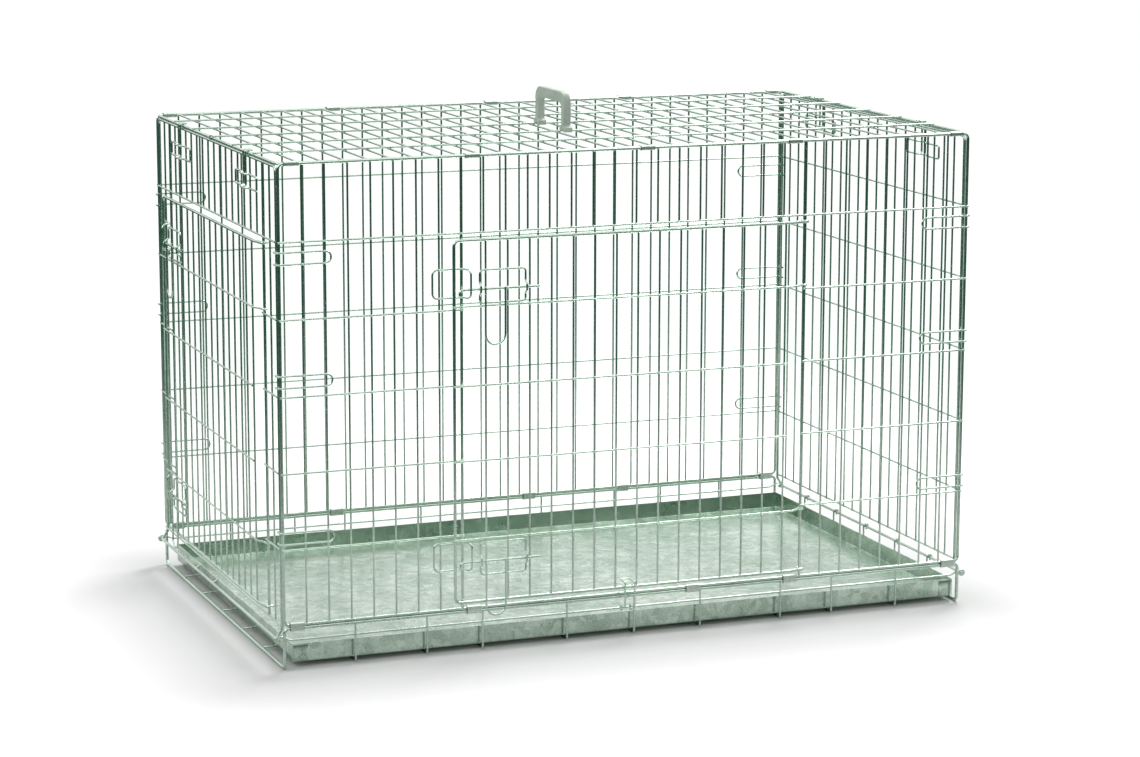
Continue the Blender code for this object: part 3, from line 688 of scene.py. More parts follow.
@dataclass
class TopPanel:
    """The roof: a closed rail, its mesh and the four hooks that hang over the end panels."""

    bays: int = 32
    courses: int = 6
    hook_place: float = 0.187
    hook_width: float = 0.012
    hook_low: float = 0.697
    hook_out: float = 0.0045
    hook_tail: float = 0.006

    def add_hook(self, work: WireWork, hand: int, place: float) -> None:
        """Adds a hairpin that lies over the end rail and hangs down outside it.

        Args:
            work: The wires to add to.
            hand: -1 or 1, the end that it is at.
            place: Its middle, across the cage.
        """
        tail = hand * (LAYOUT.post_x - self.hook_tail)
        out = hand * (LAYOUT.post_x + self.hook_out)
        over = LAYOUT.top_z + (LAYOUT.rail + LAYOUT.wire) / 2 - 0.0003
        near, far = place - self.hook_width / 2, place + self.hook_width / 2
        path = turns([(tail, near, over), (out, near, over)], LAYOUT.kink)
        path += turns([(out, near, self.hook_low), (out, far, self.hook_low)], self.hook_width * 0.46)
        path += turns([(out, far, over), (tail, far, over)], LAYOUT.kink)
        work.bent(path, LAYOUT.wire)

    def build(self) -> bpy.types.Object:
        """Builds the roof and gives the piece."""
        x, y, z = LAYOUT.post_x, LAYOUT.top_y, LAYOUT.top_z
        work = WireWork()
        corners = [(-x, -y, z), (x, -y, z), (x, y, z), (-x, y, z)]
        work.bent(turns(corners, LAYOUT.corner), LAYOUT.rail, closed=True, sides=16)
        for number in range(1, self.bays):
            place = spaced(x, self.bays, number)
            work.straight((place, -y, z), (place, y, z), LAYOUT.wire)
        end = x + LAYOUT.rail / 2
        for number in range(1, self.courses):
            place = spaced(y, self.courses, number)
            over = z + LAYOUT.lay
            work.straight((-end, place, over), (end, place, over), LAYOUT.wire)
        for hand in (-1, 1):
            for side in (-1, 1):
                self.add_hook(work, hand, side * self.hook_place)
        return place_piece(work.mesh, "top_panel_wire", ZINC, "cage", ["top_panel"])


@dataclass
class Base:
    """The base: a rail high along the sides and low across the ends, and the tray's wires."""

    cross_places: tuple[float, ...] = (0.0, 0.110, 0.246, 0.334, 0.446)
    long_bays: int = 6
    low_z: float = 0.0026
    cross_z: float = 0.0030
    width: float = 0.690
    eye_run: float = 0.020
    eye_lead: float = 0.006

    @property
    def reach(self) -> float:
        """From the end panel's rail to the centre line of an eye round it."""
        return (LAYOUT.rail + LAYOUT.wire) / 2 + LAYOUT.play

    def add_rail(self, work: WireWork) -> None:
        """Adds the base's rail."""
        x, y = LAYOUT.base_x, LAYOUT.front_y
        corners: list[Point] = []
        for side_x, side_y in ((-x, -y), (x, -y), (x, y), (-x, y)):
            ends = [(side_x, side_y, LAYOUT.rim_z), (side_x, side_y, self.low_z)]
            corners += ends if side_x * side_y < 0 else reversed(ends)
        work.bent(turns(corners, LAYOUT.corner), LAYOUT.base_rail, closed=True, sides=16)

    def add_cross_wires(self, work: WireWork) -> None:
        """Adds the wires under the tray that rise at both ends to the rail."""
        y, low, high = LAYOUT.front_y, self.cross_z, LAYOUT.rim_z
        for x in sorted({side * place for place in self.cross_places for side in (-1, 1)}):
            path = turns([(x, -y, high), (x, -y, low), (x, y, low), (x, y, high)], LAYOUT.hook_bend)
            work.bent(path, LAYOUT.wire)

    def add_long_wires(self, work: WireWork) -> None:
        """Adds the long wires, curled round the end panels' rails."""
        low = self.cross_z + LAYOUT.lay
        right, axle = LAYOUT.hinge_x, LAYOUT.hinge_z
        for number in range(1, self.long_bays):
            y = spaced(self.width / 2, self.long_bays, number)
            path = [Turn(Vector((-LAYOUT.base_x, y, low)))]
            path += turns([(right - self.reach, y, low)], LAYOUT.hook_bend)
            path += eye((right, y, axle), self.reach, (-1, 0, 0), (0, 0, 1))
            work.bent(path, LAYOUT.wire)
        for side in (-1, 1):
            y = side * (LAYOUT.front_y - LAYOUT.lay)
            level = right - self.eye_run
            lead = Turn(Vector((right - self.eye_lead, y, axle + self.reach)), 0.004)
            curl = eye((right, y, axle), self.reach, (0, 0, 1), (1, 0, 0))
            run = [Turn(Vector((level, y, LAYOUT.mid_z)), 0.008), lead, *curl]
            back = [Turn(t.point * Vector((-1, 1, 1)), t.radius) for t in reversed(run)]
            work.bent(back + run, LAYOUT.wire)

    def build(self) -> bpy.types.Object:
        """Builds the base and gives the piece."""
        work = WireWork()
        self.add_rail(work)
        self.add_cross_wires(work)
        self.add_long_wires(work)
        return place_piece(work.mesh, "base_frame_wire", ZINC, "cage", ["base_frame"])


@dataclass
class Door:
    """A side-hung door with its brackets, bolts, handles and keepers."""

    name: str
    panel: Panel
    hung_on: str
    top_drop: float = 0.010
    bottom_rise: float = 0.0115
    overlap: float = 0.0145
    keeper_bend: float = 0.0075
    bracket_bend: float = 0.0055
    eye_step: float = 0.0055
    eye_run: float = 0.020
    eye_lead: float = 0.006
    bolt_start: float = -0.0073
    bolt_length: float = 0.125
    bolt_tip: float = 0.0085
    bracket_start: float = 0.0245
    bracket_length: float = 0.072
    bracket_above: float = 0.028
    bracket_below: float = 0.021
    bracket_bow: float = 0.005
    bracket_ramp: float = 0.005
    keeper_back: float = 0.046
    keeper_reach: float = 0.0088
    keeper_above: float = 0.030
    keeper_below: float = 0.0125
    handle_start: float = 0.0318
    handle_width: float = 0.031
    handle_drop: float = 0.083

    @property
    def latch_jamb(self) -> float:
        """Place of the jamb on the latch side."""
        return self.panel.place(self.panel.jambs[0])

    def curl(self, z: float, layer: float, diameter: float) -> list[Turn]:
        """The end of a rail or wire: it steps back to the jamb and curls round it.

        Args:
            z: Its height.
            layer: How far out it runs.
            diameter: The rail's or wire's diameter.

        Returns:
            The end of its path.
        """
        hinge = self.panel.place(self.panel.jambs[1])
        reach = (LAYOUT.jamb + diameter) / 2 + LAYOUT.play
        lead = turns([(hinge - self.eye_run, -layer, z), (hinge - self.eye_lead, -reach, z)], 0.004)
        return lead + eye((hinge, 0, z), reach, (0, -1, 0), (1, 0, 0))

    def add_frame(self, work: WireWork, foot: float, top: float) -> None:
        """Adds the rail, bent to a U and curled round the jamb at both ends."""
        layer = LAYOUT.door_layer
        stile = self.latch_jamb - self.overlap
        upper = list(reversed(self.curl(top, layer, LAYOUT.rail)))
        lower = self.curl(foot, layer, LAYOUT.rail)
        corners = turns([(stile, -layer, top), (stile, -layer, foot)], LAYOUT.corner)
        work.bent(upper + corners + lower, LAYOUT.rail, sides=16)

    def build_door(self, where: Matrix) -> None:
        """Builds the door itself."""
        layer, mesh = LAYOUT.door_layer, LAYOUT.door_layer + LAYOUT.lay
        top = LAYOUT.course_z(1) - self.top_drop
        foot = LAYOUT.sill_z + self.bottom_rise
        work = WireWork()
        self.add_frame(work, foot, top)
        first, last = self.panel.jambs
        for number in range(first + 1, last):
            x = self.panel.place(number)
            work.straight((x, -layer, foot), (x, -layer, top), LAYOUT.wire)
        start = self.latch_jamb - self.overlap - LAYOUT.rail / 2
        for z in (LAYOUT.course_z(2) + self.eye_step, LAYOUT.course_z(5) - self.eye_step):
            work.bent([Turn(Vector((start, -mesh, z))), *self.curl(z, mesh, LAYOUT.wire)], LAYOUT.wire)
        stop = self.panel.place(last - 1) + LAYOUT.wire
        for z in (LAYOUT.course_z(3), LAYOUT.course_z(4)):
            work.straight((start, -mesh, z), (stop, -mesh, z), LAYOUT.wire)
        place_piece(work.mesh, f"{self.name}_wire", ZINC, self.name, [self.name], where)

    def build_keeper(self, name: str, z: float, where: Matrix) -> None:
        """Builds a keeper: a loop on the panel that swells outwards over the bolt."""
        jamb = self.latch_jamb
        back, bend, nose = jamb - self.keeper_back, jamb + 0.0015, jamb + self.keeper_reach
        flat, out = -LAYOUT.lay, -LAYOUT.catch_layer
        high, low = z + self.keeper_above, z - self.keeper_below
        path = turns([(back, flat, high)], self.keeper_bend)
        path += turns([(bend, flat, high)], LAYOUT.kink)
        path += turns([(nose, out, high), (nose, out, low)], self.keeper_bend)
        path += turns([(bend, flat, low)], LAYOUT.kink)
        path += turns([(back, flat, low)], self.keeper_bend)
        work = WireWork()
        work.bent(path, LAYOUT.wire, closed=True)
        place_piece(work.mesh, f"{name}_wire", ZINC, self.hung_on, [name], where)

    def build_bracket(self, name: str, z: float, where: Matrix) -> None:
        """Builds a bracket: a loop on the door whose sides bow outwards round the bolt."""
        left = self.latch_jamb + self.bracket_start
        right = left + self.bracket_length
        flat, out = -LAYOUT.door_layer - LAYOUT.lay, -LAYOUT.catch_layer
        outer = self.bracket_bow + self.bracket_ramp
        bow = [(flat, outer), (out, self.bracket_bow), (out, -self.bracket_bow), (flat, -outer)]
        high, low = z + self.bracket_above, z - self.bracket_below
        path = turns([(left, flat, high), (right, flat, high)], self.bracket_bend)
        path += turns([(right, y, z + rise) for y, rise in bow], LAYOUT.kink / 2)
        path += turns([(right, flat, low), (left, flat, low)], self.bracket_bend)
        path += turns([(left, y, z + rise) for y, rise in reversed(bow)], LAYOUT.kink / 2)
        work = WireWork()
        work.bent(path, LAYOUT.wire, closed=True)
        place_piece(work.mesh, f"{name}_wire", ZINC, self.name, [name], where)

    def build_bolt(self, name: str, z: float, where: Matrix) -> None:
        """Builds a bolt: a rod with its tip bent down."""
        start = self.latch_jamb + self.bolt_start
        y = -LAYOUT.bolt_layer
        corners = [(start, y, z - self.bolt_tip), (start, y, z), (start + self.bolt_length, y, z)]
        work = WireWork()
        work.bent(turns(corners, LAYOUT.hook_bend), LAYOUT.rod, sides=16)
        place_piece(work.mesh, f"{name}_rod", ZINC, name, [name], where)

    def build_handle(self, name: str, z: float, where: Matrix) -> None:
        """Builds the finger loop that hangs on a rod."""
        left = self.latch_jamb + self.handle_start
        right = left + self.handle_width
        y = -LAYOUT.handle_layer
        low = z - self.handle_drop
        corners = [(left, y, z + 0.002), (left, y, low), (right, y, low), (right, y, z + 0.002)]
        work = WireWork()
        work.bent(turns(corners, self.handle_width * 0.485), LAYOUT.wire)
        place_piece(work.mesh, f"{name}_loop", ZINC, name, [name], where)

    def build(self) -> None:
        """Builds the door and both its latches."""
        where = LAYOUT.panel_matrix(self.panel.side)
        self.build_door(where)
        for level, z in LAYOUT.latch_heights.items():
            prefix = f"{self.name}_{level}"
            self.build_keeper(f"{prefix}_keeper", z, where)
            self.build_bracket(f"{prefix}_bracket", z, where)
            self.build_bolt(f"{prefix}_bolt", z, where)
            self.build_handle(f"{prefix}_handle", z, where)


@dataclass
class DoorHook:
    """The hook that turns on the base's inner rail and holds the front door's foot."""

    place: float = -0.0123
    width: float = 0.0155
    high: float = 0.087
    over: float = 0.008
    reach: float = 0.0036

    def build(self) -> bpy.types.Object:
        """Builds the hook and gives the piece."""
        pivot = Vector((0, -0.339713, LAYOUT.mid_z))
        out = -LAYOUT.front_y - LAYOUT.door_layer - (LAYOUT.rail + LAYOUT.wire) / 2 - LAYOUT.play
        left, right = self.place - self.width / 2, self.place + self.width / 2
        level = pivot.z + self.reach
        tip = -LAYOUT.front_y + self.over

        def leg(x: float) -> list[Turn]:
            curl = eye((x, pivot.y, pivot.z), self.reach, (0, 0, 1), (0, 1, 0))
            rise = turns([(x, out, level), (x, out, self.high), (x, tip, self.high)], LAYOUT.kink)
            return list(reversed(curl)) + rise

        path = leg(left) + list(reversed(leg(right)))
        work = WireWork()
        work.bent(path, LAYOUT.wire)
        return place_piece(work.mesh, "door_hook_wire", ZINC, "door_hook", ["door_hook"])


@dataclass
class Tray:
    """The sheet tray: folded walls, lapped corner tabs and spot welds."""

    wall: float = 0.0012
    hem: float = 0.0028
    hem_sheet: float = 0.0016
    tab_width: float = 0.023
    tab_height: float = 0.024
    tab_sheet: float = 0.0008
    fold: float = 0.0026
    spot: float = 0.0024
    spot_rise: float = 0.0004
    spot_step: float = 0.0075

    def add_spot(self, shape: bmesh.types.BMesh, x: float, y: float, z: float, hand: int) -> None:
        """Adds a spot weld's ring, with a dimple in its middle.

        Args:
            shape: The tray's mesh.
            x: Its place along the tray.
            y: The face that it is on.
            z: Its height.
            hand: -1 or 1, the way that the face looks.
        """
        turn = Matrix.Rotation(math.pi / 2, 4, "X")
        rise = Vector((0, hand * self.spot_rise, 0))
        made = bmesh.ops.create_cone(
            shape,
            cap_ends=True,
            segments=16,
            radius1=self.spot,
            radius2=self.spot,
            depth=self.spot_rise * 2,
            matrix=Matrix.Translation((x, y, z)) @ turn,
        )
        faces = {face for vert in made["verts"] for face in vert.link_faces}
        cap = max(faces, key=lambda face: hand * face.calc_center_median().y)
        bmesh.ops.inset_individual(shape, faces=[cap], thickness=self.spot * 0.35)
        bmesh.ops.translate(shape, verts=cap.verts, vec=-rise * 2.4)

    @staticmethod
    def _sink(shape: bmesh.types.BMesh, face: bmesh.types.BMFace, depth: float) -> bmesh.types.BMFace:
        """Extrudes a face downwards.

        Args:
            shape: The tray's mesh.
            face: The face, which is taken away.
            depth: How far down.

        Returns:
            The face at the bottom.
        """
        made = bmesh.ops.extrude_face_region(shape, geom=[face])["geom"]
        verts = [part for part in made if isinstance(part, bmesh.types.BMVert)]
        bmesh.ops.translate(shape, verts=verts, vec=(0, 0, -depth))
        bmesh.ops.delete(shape, geom=[face], context="FACES_ONLY")
        return next(part for part in made if isinstance(part, bmesh.types.BMFace))

    def build(self) -> bpy.types.Object:
        """Builds the tray and gives the piece."""
        low, high = (Vector(corner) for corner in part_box("tray"))
        low.y += self.tab_sheet
        high.y -= self.tab_sheet
        size = high - low
        shape = bmesh.new()
        place = Matrix.Translation((low + high) / 2) @ Matrix.Diagonal(size).to_4x4()
        bmesh.ops.create_cube(shape, size=1.0, matrix=place)
        top = max(shape.faces, key=lambda face: face.calc_center_median().z)
        outer = [edge for edge in shape.edges if edge not in set(top.edges)]
        bmesh.ops.inset_individual(shape, faces=[top], thickness=self.hem)
        under = self._sink(shape, top, self.hem_sheet)
        bmesh.ops.inset_individual(shape, faces=[under], thickness=self.wall - self.hem)
        sunk_face = self._sink(shape, under, size.z - self.hem_sheet - self.wall)
        sunk = list(sunk_face.verts)
        floor = set(sunk)
        inner = [edge for edge in shape.edges if floor & set(edge.verts)]
        for edges, offset in ((outer, self.fold), (inner, self.fold - self.wall)):
            live = [edge for edge in edges if edge.is_valid]
            bmesh.ops.bevel(
                shape,
                geom=live,
                offset=offset,
                segments=4,
                profile=0.5,
                affect="EDGES",
                material=-1,
                clamp_overlap=True,
            )
        middle = (low.z + high.z) / 2
        for start in (low.x + self.wall, high.x - self.wall - self.tab_width):
            for hand in (-1, 1):
                face = (high.y if hand > 0 else low.y) + hand * self.tab_sheet
                spot_x = start + self.tab_width / 2 - math.copysign(0.004, start)
                centre = Vector((start + self.tab_width / 2, face - hand * self.tab_sheet, middle))
                size = Vector((self.tab_width, self.tab_sheet * 2, self.tab_height))
                place = Matrix.Translation(centre) @ Matrix.Diagonal(size).to_4x4()
                tab = bmesh.ops.create_cube(shape, size=1.0, matrix=place)["verts"]
                edges = list({edge for vert in tab for edge in vert.link_edges})
                bmesh.ops.bevel(
                    shape,
                    geom=edges,
                    offset=0.0003,
                    segments=2,
                    profile=0.5,
                    affect="EDGES",
                    material=-1,
                )
                for rise in (-self.spot_step / 2, self.spot_step / 2):
                    self.add_spot(shape, spot_x, face, middle + rise, hand)
        return place_piece(shape, "tray_sheet", SHEET, "tray", ["tray"])


@dataclass
class CarryHandle:
    """The moulded handle: a flat arch whose feet clasp two long wires of the roof."""

    node: str = "carry_handle"
    width: float = 0.012
    place: float = -0.0235
    height: float = 0.060
    leg: float = 0.012
    bar: float = 0.017
    neck: float = 0.009
    foot: float = 0.024
    foot_height: float = 0.0035
    neck_height: float = 0.0045
    shoulder_height: float = 0.018
    corner: float = 0.019
    inner_corner: float = 0.010
    edge: float = 0.0022

    def outline(self) -> list[tuple[float, float]]:
        """The side view's corners, from the middle between the legs and the wires' height."""
        half = LAYOUT.top_y / 6
        leg, neck, foot = self.leg / 2, self.neck / 2, self.foot / 2
        slot = LAYOUT.wire / 2 + 0.0004
        head = slot + self.foot_height
        waist = head + self.neck_height
        shoulder = waist + self.shoulder_height
        soffit = self.height - self.bar
        right = [
            (half + leg, self.height),
            (half + leg, shoulder),
            (half + neck, waist),
            (half + foot, head),
            (half + foot, -LAYOUT.wire / 2),
            (half + slot, -LAYOUT.wire / 2),
            (half + slot, slot),
            (half - slot, slot),
            (half - slot, -LAYOUT.wire / 2),
            (half - foot, -LAYOUT.wire / 2),
            (half - foot, head),
            (half - neck, waist),
            (half - leg, shoulder),
            (half - leg, soffit),
        ]
        return right + [(-y, z) for y, z in reversed(right)]

    def build(self) -> bpy.types.Object:
        """Builds the handle and gives the piece."""
        middle = -LAYOUT.top_y / 6
        base = LAYOUT.top_z + LAYOUT.lay
        shape = bmesh.new()
        start = self.place - self.width / 2
        corners = [shape.verts.new((start, middle + y, base + z)) for y, z in self.outline()]
        crown = [vert for vert in corners if vert.co.z > base + self.height - 0.001]
        soffit = [
            vert
            for vert in corners
            if abs(vert.co.z - base - self.height + self.bar) < 0.001
        ]
        edge_loop = [
            shape.edges.new(pair) for pair in zip(corners, corners[1:] + corners[:1])
        ]
        bmesh.ops.contextual_create(shape, geom=edge_loop)
        for verts, radius in ((crown, self.corner), (soffit, self.inner_corner)):
            bmesh.ops.bevel(
                shape,
                geom=verts,
                offset=radius,
                segments=8,
                profile=0.5,
                affect="VERTICES",
                material=-1,
            )
        made = bmesh.ops.extrude_face_region(shape, geom=list(shape.faces))["geom"]
        moved = [part for part in made if isinstance(part, bmesh.types.BMVert)]
        bmesh.ops.translate(shape, verts=moved, vec=(self.width, 0, 0))
        waist = base + 0.012
        flat = [
            edge
            for edge in shape.edges
            if abs(edge.verts[0].co.x - edge.verts[1].co.x) < 1e-6
            and min(vert.co.z for vert in edge.verts) > waist
        ]
        bmesh.ops.bevel(
            shape,
            geom=flat,
            offset=self.edge,
            segments=4,
            profile=0.5,
            affect="EDGES",
            material=-1,
            clamp_overlap=True,
        )
        return place_piece(shape, "carry_handle_moulding", GRIP, "cage", [self.node], sharp=35.0)


@dataclass
class Clips:
    """The sleeve clips on the paired rails, and the saddle on the left end's rail."""

    sheet: float = 0.0009
    edge: float = 0.0019
    names: list[str] = field(
        default_factory=lambda: [
            f"clip_{side}_{row}_{number}"
            for side in ("front", "rear")
            for row in ("top", "sill")
            for number in range(1, 6)
        ]
    )

    def build_sleeve(self, node: str) -> bpy.types.Object:
        """Builds a sleeve: a rounded tube of strip, open at both ends.

        Args:
            node: The clip's node, whose box it fills.

        Returns:
            The piece.
        """
        low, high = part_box(node)
        size = high - low
        shape = bmesh.new()
        place = Matrix.Translation((low + high) / 2) @ Matrix.Diagonal(size).to_4x4()
        bmesh.ops.create_cube(shape, size=1.0, matrix=place)
        ends = sorted(shape.faces, key=lambda face: abs(face.normal.x))[-2:]
        bmesh.ops.inset_individual(shape, faces=ends, thickness=self.sheet)
        edges = [edge for face in ends for edge in face.edges]
        bmesh.ops.delete(shape, geom=ends, context="FACES_ONLY")
        bmesh.ops.bridge_loops(shape, edges=edges)
        outside = [
            edge
            for edge in shape.edges
            if abs(edge.verts[0].co.x - edge.verts[1].co.x) > size.x / 2
        ]
        bmesh.ops.bevel(
            shape,
            geom=outside,
            offset=self.edge,
            segments=4,
            profile=0.5,
            affect="EDGES",
            material=-1,
            clamp_overlap=True,
        )
        return place_piece(shape, f"{node}_sleeve", CLIP, "cage", [node])

    def build_saddle(self) -> bpy.types.Object:
        """Builds the saddle: a strip pressed over the rail."""
        low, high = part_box("saddle")
        radius = (high.x - low.x) / 2
        shape = bmesh.new()
        x, z = (low.x + high.x) / 2, LAYOUT.top_z
        start = shape.verts.new((x + radius, low.y, z - 0.002))
        edge = shape.verts.new((x + radius, low.y, z))
        shape.edges.new((start, edge))
        spun = bmesh.ops.spin(
            shape,
            geom=[edge],
            cent=(x, low.y, z),
            axis=(0, 1, 0),
            angle=-math.pi,
            steps=12,
        )["geom_last"]
        last = [part for part in spun if isinstance(part, bmesh.types.BMVert)]
        made = bmesh.ops.extrude_vert_indiv(shape, verts=last)
        bmesh.ops.translate(shape, verts=made["verts"], vec=(0, 0, -0.002))
        made = bmesh.ops.extrude_edge_only(shape, edges=list(shape.edges))["geom"]
        verts = [part for part in made if isinstance(part, bmesh.types.BMVert)]
        bmesh.ops.translate(shape, verts=verts, vec=(0, high.y - low.y, 0))
        bmesh.ops.recalc_face_normals(shape, faces=shape.faces)
        bmesh.ops.solidify(shape, geom=list(shape.faces), thickness=self.sheet)
        return place_piece(shape, "saddle_strip", CLIP, "cage", ["saddle"])

    def build(self) -> None:
        """Builds every clip and the saddle."""
        for node in self.names:
            self.build_sleeve(node)
        self.build_saddle()


@dataclass
class Studio:
    """The camera, the pale floor and the soft light."""

    camera_place: Point = (-1.858, -4.808, 1.323)
    camera_turn: Point = (79.18, -0.12, -21.4)
    lens: float = 103.1
    floor_size: float = 60.0
    floor_tone: float = 0.80
    # painted shade: far off, the floor's colour is dark green, which only reflections and bounced light see; the
    # camera sees the glow
    far_painted_shade: Colour = (0.04, 0.13, 0.09)
    # painted light: the floor's glow to the camera at glow_reach beyond the cage's footprint; it is nil over the
    # footprint, which paints shade under and beside the cage
    near_painted_glow: float = 0.48
    glow_reach: float = 0.26
    footprint: tuple[float, float] = (0.55, 0.34)
    paper_start: float = 1.0
    paper_end: float = 2.2
    ambient: float = 0.43
    room: float = 0.12
    tint: Colour = (0.45, 1.0, 0.72)
    ceiling: float = 1.25
    sweep_way: Point = (0.365, 0.931, 0.0)

    def build_camera(self) -> None:
        """Puts the camera at the photograph's viewing angle."""
        data = bpy.data.cameras.new("studio_camera")
        data.lens = self.lens
        data.sensor_width = 36.0
        data.clip_end = 200.0
        camera = bpy.data.objects.new("studio_camera", data)
        camera.location = self.camera_place
        camera.rotation_euler = [math.radians(angle) for angle in self.camera_turn]
        bpy.context.scene.collection.objects.link(camera)
        bpy.context.scene.camera = camera

    def build_floor(self) -> None:
        """Lays the floor. The camera sees it glow with painted light: white far off, and fading to nothing over the
        cage's footprint. That paints shade round the cage on top of the real shadow, which the floor keeps.
        """
        shape = bmesh.new()
        bmesh.ops.create_grid(shape, x_segments=1, y_segments=1, size=self.floor_size / 2)
        mesh = bpy.data.meshes.new("studio_floor")
        shape.to_mesh(mesh)
        shape.free()
        floor = bpy.data.objects.new("studio_floor", mesh)
        bpy.context.scene.collection.objects.link(floor)
        made = bpy.data.materials.new("studio_floor_paint")
        made.use_nodes = True
        nodes, links = made.node_tree.nodes, made.node_tree.links
        nodes.remove(nodes["Principled BSDF"])
        place = nodes.new("ShaderNodeTexCoord")
        away = nodes.new("ShaderNodeVectorMath")
        away.operation = "LENGTH"
        paper = nodes.new("ShaderNodeMapRange")
        paper.interpolation_type = "SMOOTHSTEP"
        paper.inputs["From Min"].default_value = self.paper_end
        paper.inputs["From Max"].default_value = self.paper_start
        links.new(place.outputs["Object"], away.inputs[0])
        links.new(away.outputs["Value"], paper.inputs["Value"])
        matt = nodes.new("ShaderNodeBsdfDiffuse")
        # painted shade: the floor's colour fades from pale near the cage to the dark far tone, which the metal
        # shows in its reflections
        tone = nodes.new("ShaderNodeMix")
        tone.data_type = "RGBA"
        tone.inputs["A"].default_value = (*self.far_painted_shade, 1.0)
        tone.inputs["B"].default_value = (self.floor_tone,) * 3 + (1.0,)
        links.new(paper.outputs["Result"], tone.inputs["Factor"])
        links.new(tone.outputs["Result"], matt.inputs["Color"])
        beside = place.outputs["Object"]
        for operation, value in (
            ("ABSOLUTE", None),
            ("SUBTRACT", (*self.footprint, 0.0)),
            ("MAXIMUM", (0.0, 0.0, 0.0)),
            ("LENGTH", None),
        ):
            step = nodes.new("ShaderNodeVectorMath")
            step.operation = operation
            links.new(beside, step.inputs[0])
            if value is not None:
                step.inputs[1].default_value = value
            beside = step.outputs["Value" if operation == "LENGTH" else "Vector"]
        # painted shade: the camera-only glow is nil over the cage's footprint and rises to its near level at
        # glow_reach beyond it, darkening the floor round the cage
        near = nodes.new("ShaderNodeMapRange")
        near.inputs["From Max"].default_value = self.glow_reach
        near.inputs["To Max"].default_value = self.near_painted_glow
        links.new(beside, near.inputs["Value"])
        seen = nodes.new("ShaderNodeMix")
        seen.inputs["A"].default_value = 1.0
        links.new(near.outputs["Result"], seen.inputs["B"])
        links.new(paper.outputs["Result"], seen.inputs["Factor"])
        path = nodes.new("ShaderNodeLightPath")
        direct = nodes.new("ShaderNodeMath")
        direct.operation = "MAXIMUM"
        links.new(path.outputs["Is Camera Ray"], direct.inputs[0])
        links.new(path.outputs["Is Transmission Ray"], direct.inputs[1])
        level = nodes.new("ShaderNodeMath")
        level.operation = "MULTIPLY"
        links.new(direct.outputs["Value"], level.inputs[0])
        links.new(seen.outputs["Result"], level.inputs[1])
        # painted light: the floor's glow, full white far off and ramped down towards the cage
        glow = nodes.new("ShaderNodeEmission")
        links.new(level.outputs["Value"], glow.inputs["Strength"])
        both = nodes.new("ShaderNodeAddShader")
        links.new(matt.outputs["BSDF"], both.inputs[0])
        links.new(glow.outputs["Emission"], both.inputs[1])
        links.new(both.outputs["Shader"], nodes["Material Output"].inputs["Surface"])
        mesh.materials.append(made)

    def build_world(self) -> None:
        """Makes the surroundings: white to the camera, dim and green-tinted in reflections except towards the sweep
        and overhead, and softer as light.
        """
        world = bpy.data.worlds.new("studio_world")
        world.use_nodes = True
        bpy.context.scene.world = world
        nodes, links = world.node_tree.nodes, world.node_tree.links
        path = nodes.new("ShaderNodeLightPath")
        place = nodes.new("ShaderNodeTexCoord")
        facing = nodes.new("ShaderNodeVectorMath")
        facing.operation = "DOT_PRODUCT"
        facing.inputs[1].default_value = self.sweep_way
        sweep = nodes.new("ShaderNodeMapRange")
        sweep.interpolation_type = "SMOOTHSTEP"
        sweep.inputs["From Min"].default_value = 0.05
        sweep.inputs["From Max"].default_value = 0.45
        sweep.inputs["To Min"].default_value = self.room
        links.new(place.outputs["Generated"], facing.inputs[0])
        links.new(facing.outputs["Value"], sweep.inputs["Value"])
        split = nodes.new("ShaderNodeSeparateXYZ")
        links.new(place.outputs["Generated"], split.inputs["Vector"])
        over = nodes.new("ShaderNodeMapRange")
        over.interpolation_type = "SMOOTHSTEP"
        over.inputs["From Min"].default_value = 0.15
        over.inputs["From Max"].default_value = 0.55
        over.inputs["To Max"].default_value = self.ceiling
        links.new(split.outputs["Z"], over.inputs["Value"])
        around = nodes.new("ShaderNodeMath")
        around.operation = "MAXIMUM"
        links.new(sweep.outputs["Result"], around.inputs[0])
        links.new(over.outputs["Result"], around.inputs[1])
        mirrored = nodes.new("ShaderNodeMix")
        mirrored.inputs["A"].default_value = self.ambient
        links.new(path.outputs["Is Glossy Ray"], mirrored.inputs["Factor"])
        links.new(around.outputs["Value"], mirrored.inputs["B"])
        seen = nodes.new("ShaderNodeMath")
        seen.operation = "MAXIMUM"
        links.new(path.outputs["Is Camera Ray"], seen.inputs[0])
        links.new(path.outputs["Is Transmission Ray"], seen.inputs[1])
        level = nodes.new("ShaderNodeMix")
        level.inputs["B"].default_value = 1.0
        links.new(seen.outputs["Value"], level.inputs["Factor"])
        links.new(mirrored.outputs["Result"], level.inputs["A"])
        links.new(level.outputs["Result"], nodes["Background"].inputs["Strength"])
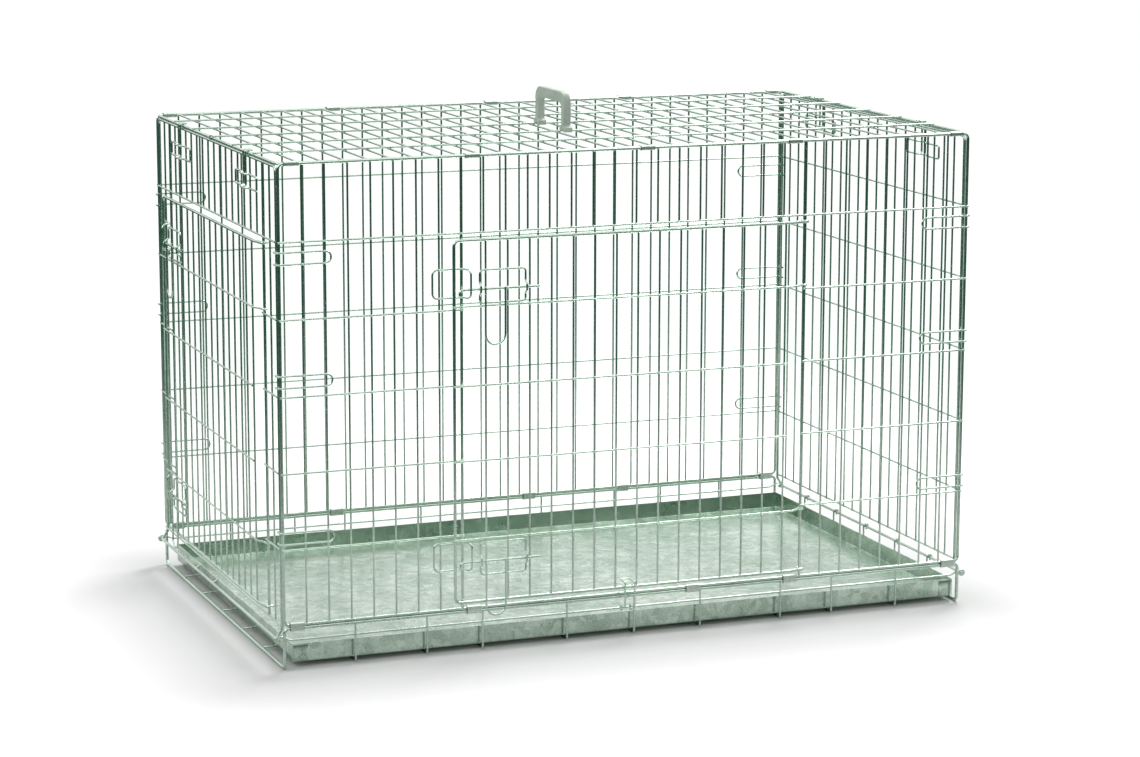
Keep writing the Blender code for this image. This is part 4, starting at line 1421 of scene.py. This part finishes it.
        pale = nodes.new("ShaderNodeMapRange")
        pale.inputs["From Min"].default_value = self.room
        pale.inputs["From Max"].default_value = self.ambient
        links.new(level.outputs["Result"], pale.inputs["Value"])
        tone = nodes.new("ShaderNodeMix")
        tone.data_type = "RGBA"
        tone.inputs["A"].default_value = (*self.tint, 1.0)
        tone.inputs["B"].default_value = (1.0, 1.0, 1.0, 1.0)
        links.new(pale.outputs["Result"], tone.inputs["Factor"])
        links.new(tone.outputs["Result"], nodes["Background"].inputs["Color"])

    def build_lamp(self, name: str, place: Point, size: float, power: float) -> None:
        """Hangs a soft lamp that looks at the middle of the cage.

        Args:
            name: The lamp's name.
            place: Where it hangs.
            size: Side of its square face.
            power: Its power in watts.
        """
        data = bpy.data.lights.new(name, "AREA")
        data.size = size
        data.energy = power
        lamp = bpy.data.objects.new(name, data)
        lamp.location = place
        aim = Vector((0, 0, 0.35)) - Vector(place)
        lamp.rotation_euler = aim.to_track_quat("-Z", "Y").to_euler()
        bpy.context.scene.collection.objects.link(lamp)

    def build(self) -> None:
        """Builds the whole studio."""
        bpy.context.scene.view_settings.view_transform = "Standard"
        self.build_camera()
        self.build_floor()
        self.build_world()
        self.build_lamp("studio_key", (2.2, 1.8, 3.4), 1.8, 130.0)
        self.build_lamp("studio_fill", (-3.4, -1.2, 3.0), 1.4, 24.0)


def main() -> None:
    """Builds the studio and every sub-assembly, in order."""
    logging.basicConfig(level=logging.INFO, format="%(name)s %(message)s")
    Studio().build()
    front = LongPanel(Side.FRONT, jambs=(8, 24))
    front.build("front_panel")
    LongPanel(Side.REAR).build("rear_panel")
    left = EndPanel(Side.LEFT, jambs=(2, 18), stubs=(-0.121, -0.019))
    left.build("left_end_panel", "left_end")
    EndPanel(Side.RIGHT).build("right_end_panel", "right_end")
    TopPanel().build()
    Base().build()
    Door("front_door", front, "cage").build()
    Door("end_door", left, "left_end").build()
    DoorHook().build()
    Tray().build()
    CarryHandle().build()
    Clips().build()


if __name__ == "__main__":
    main()
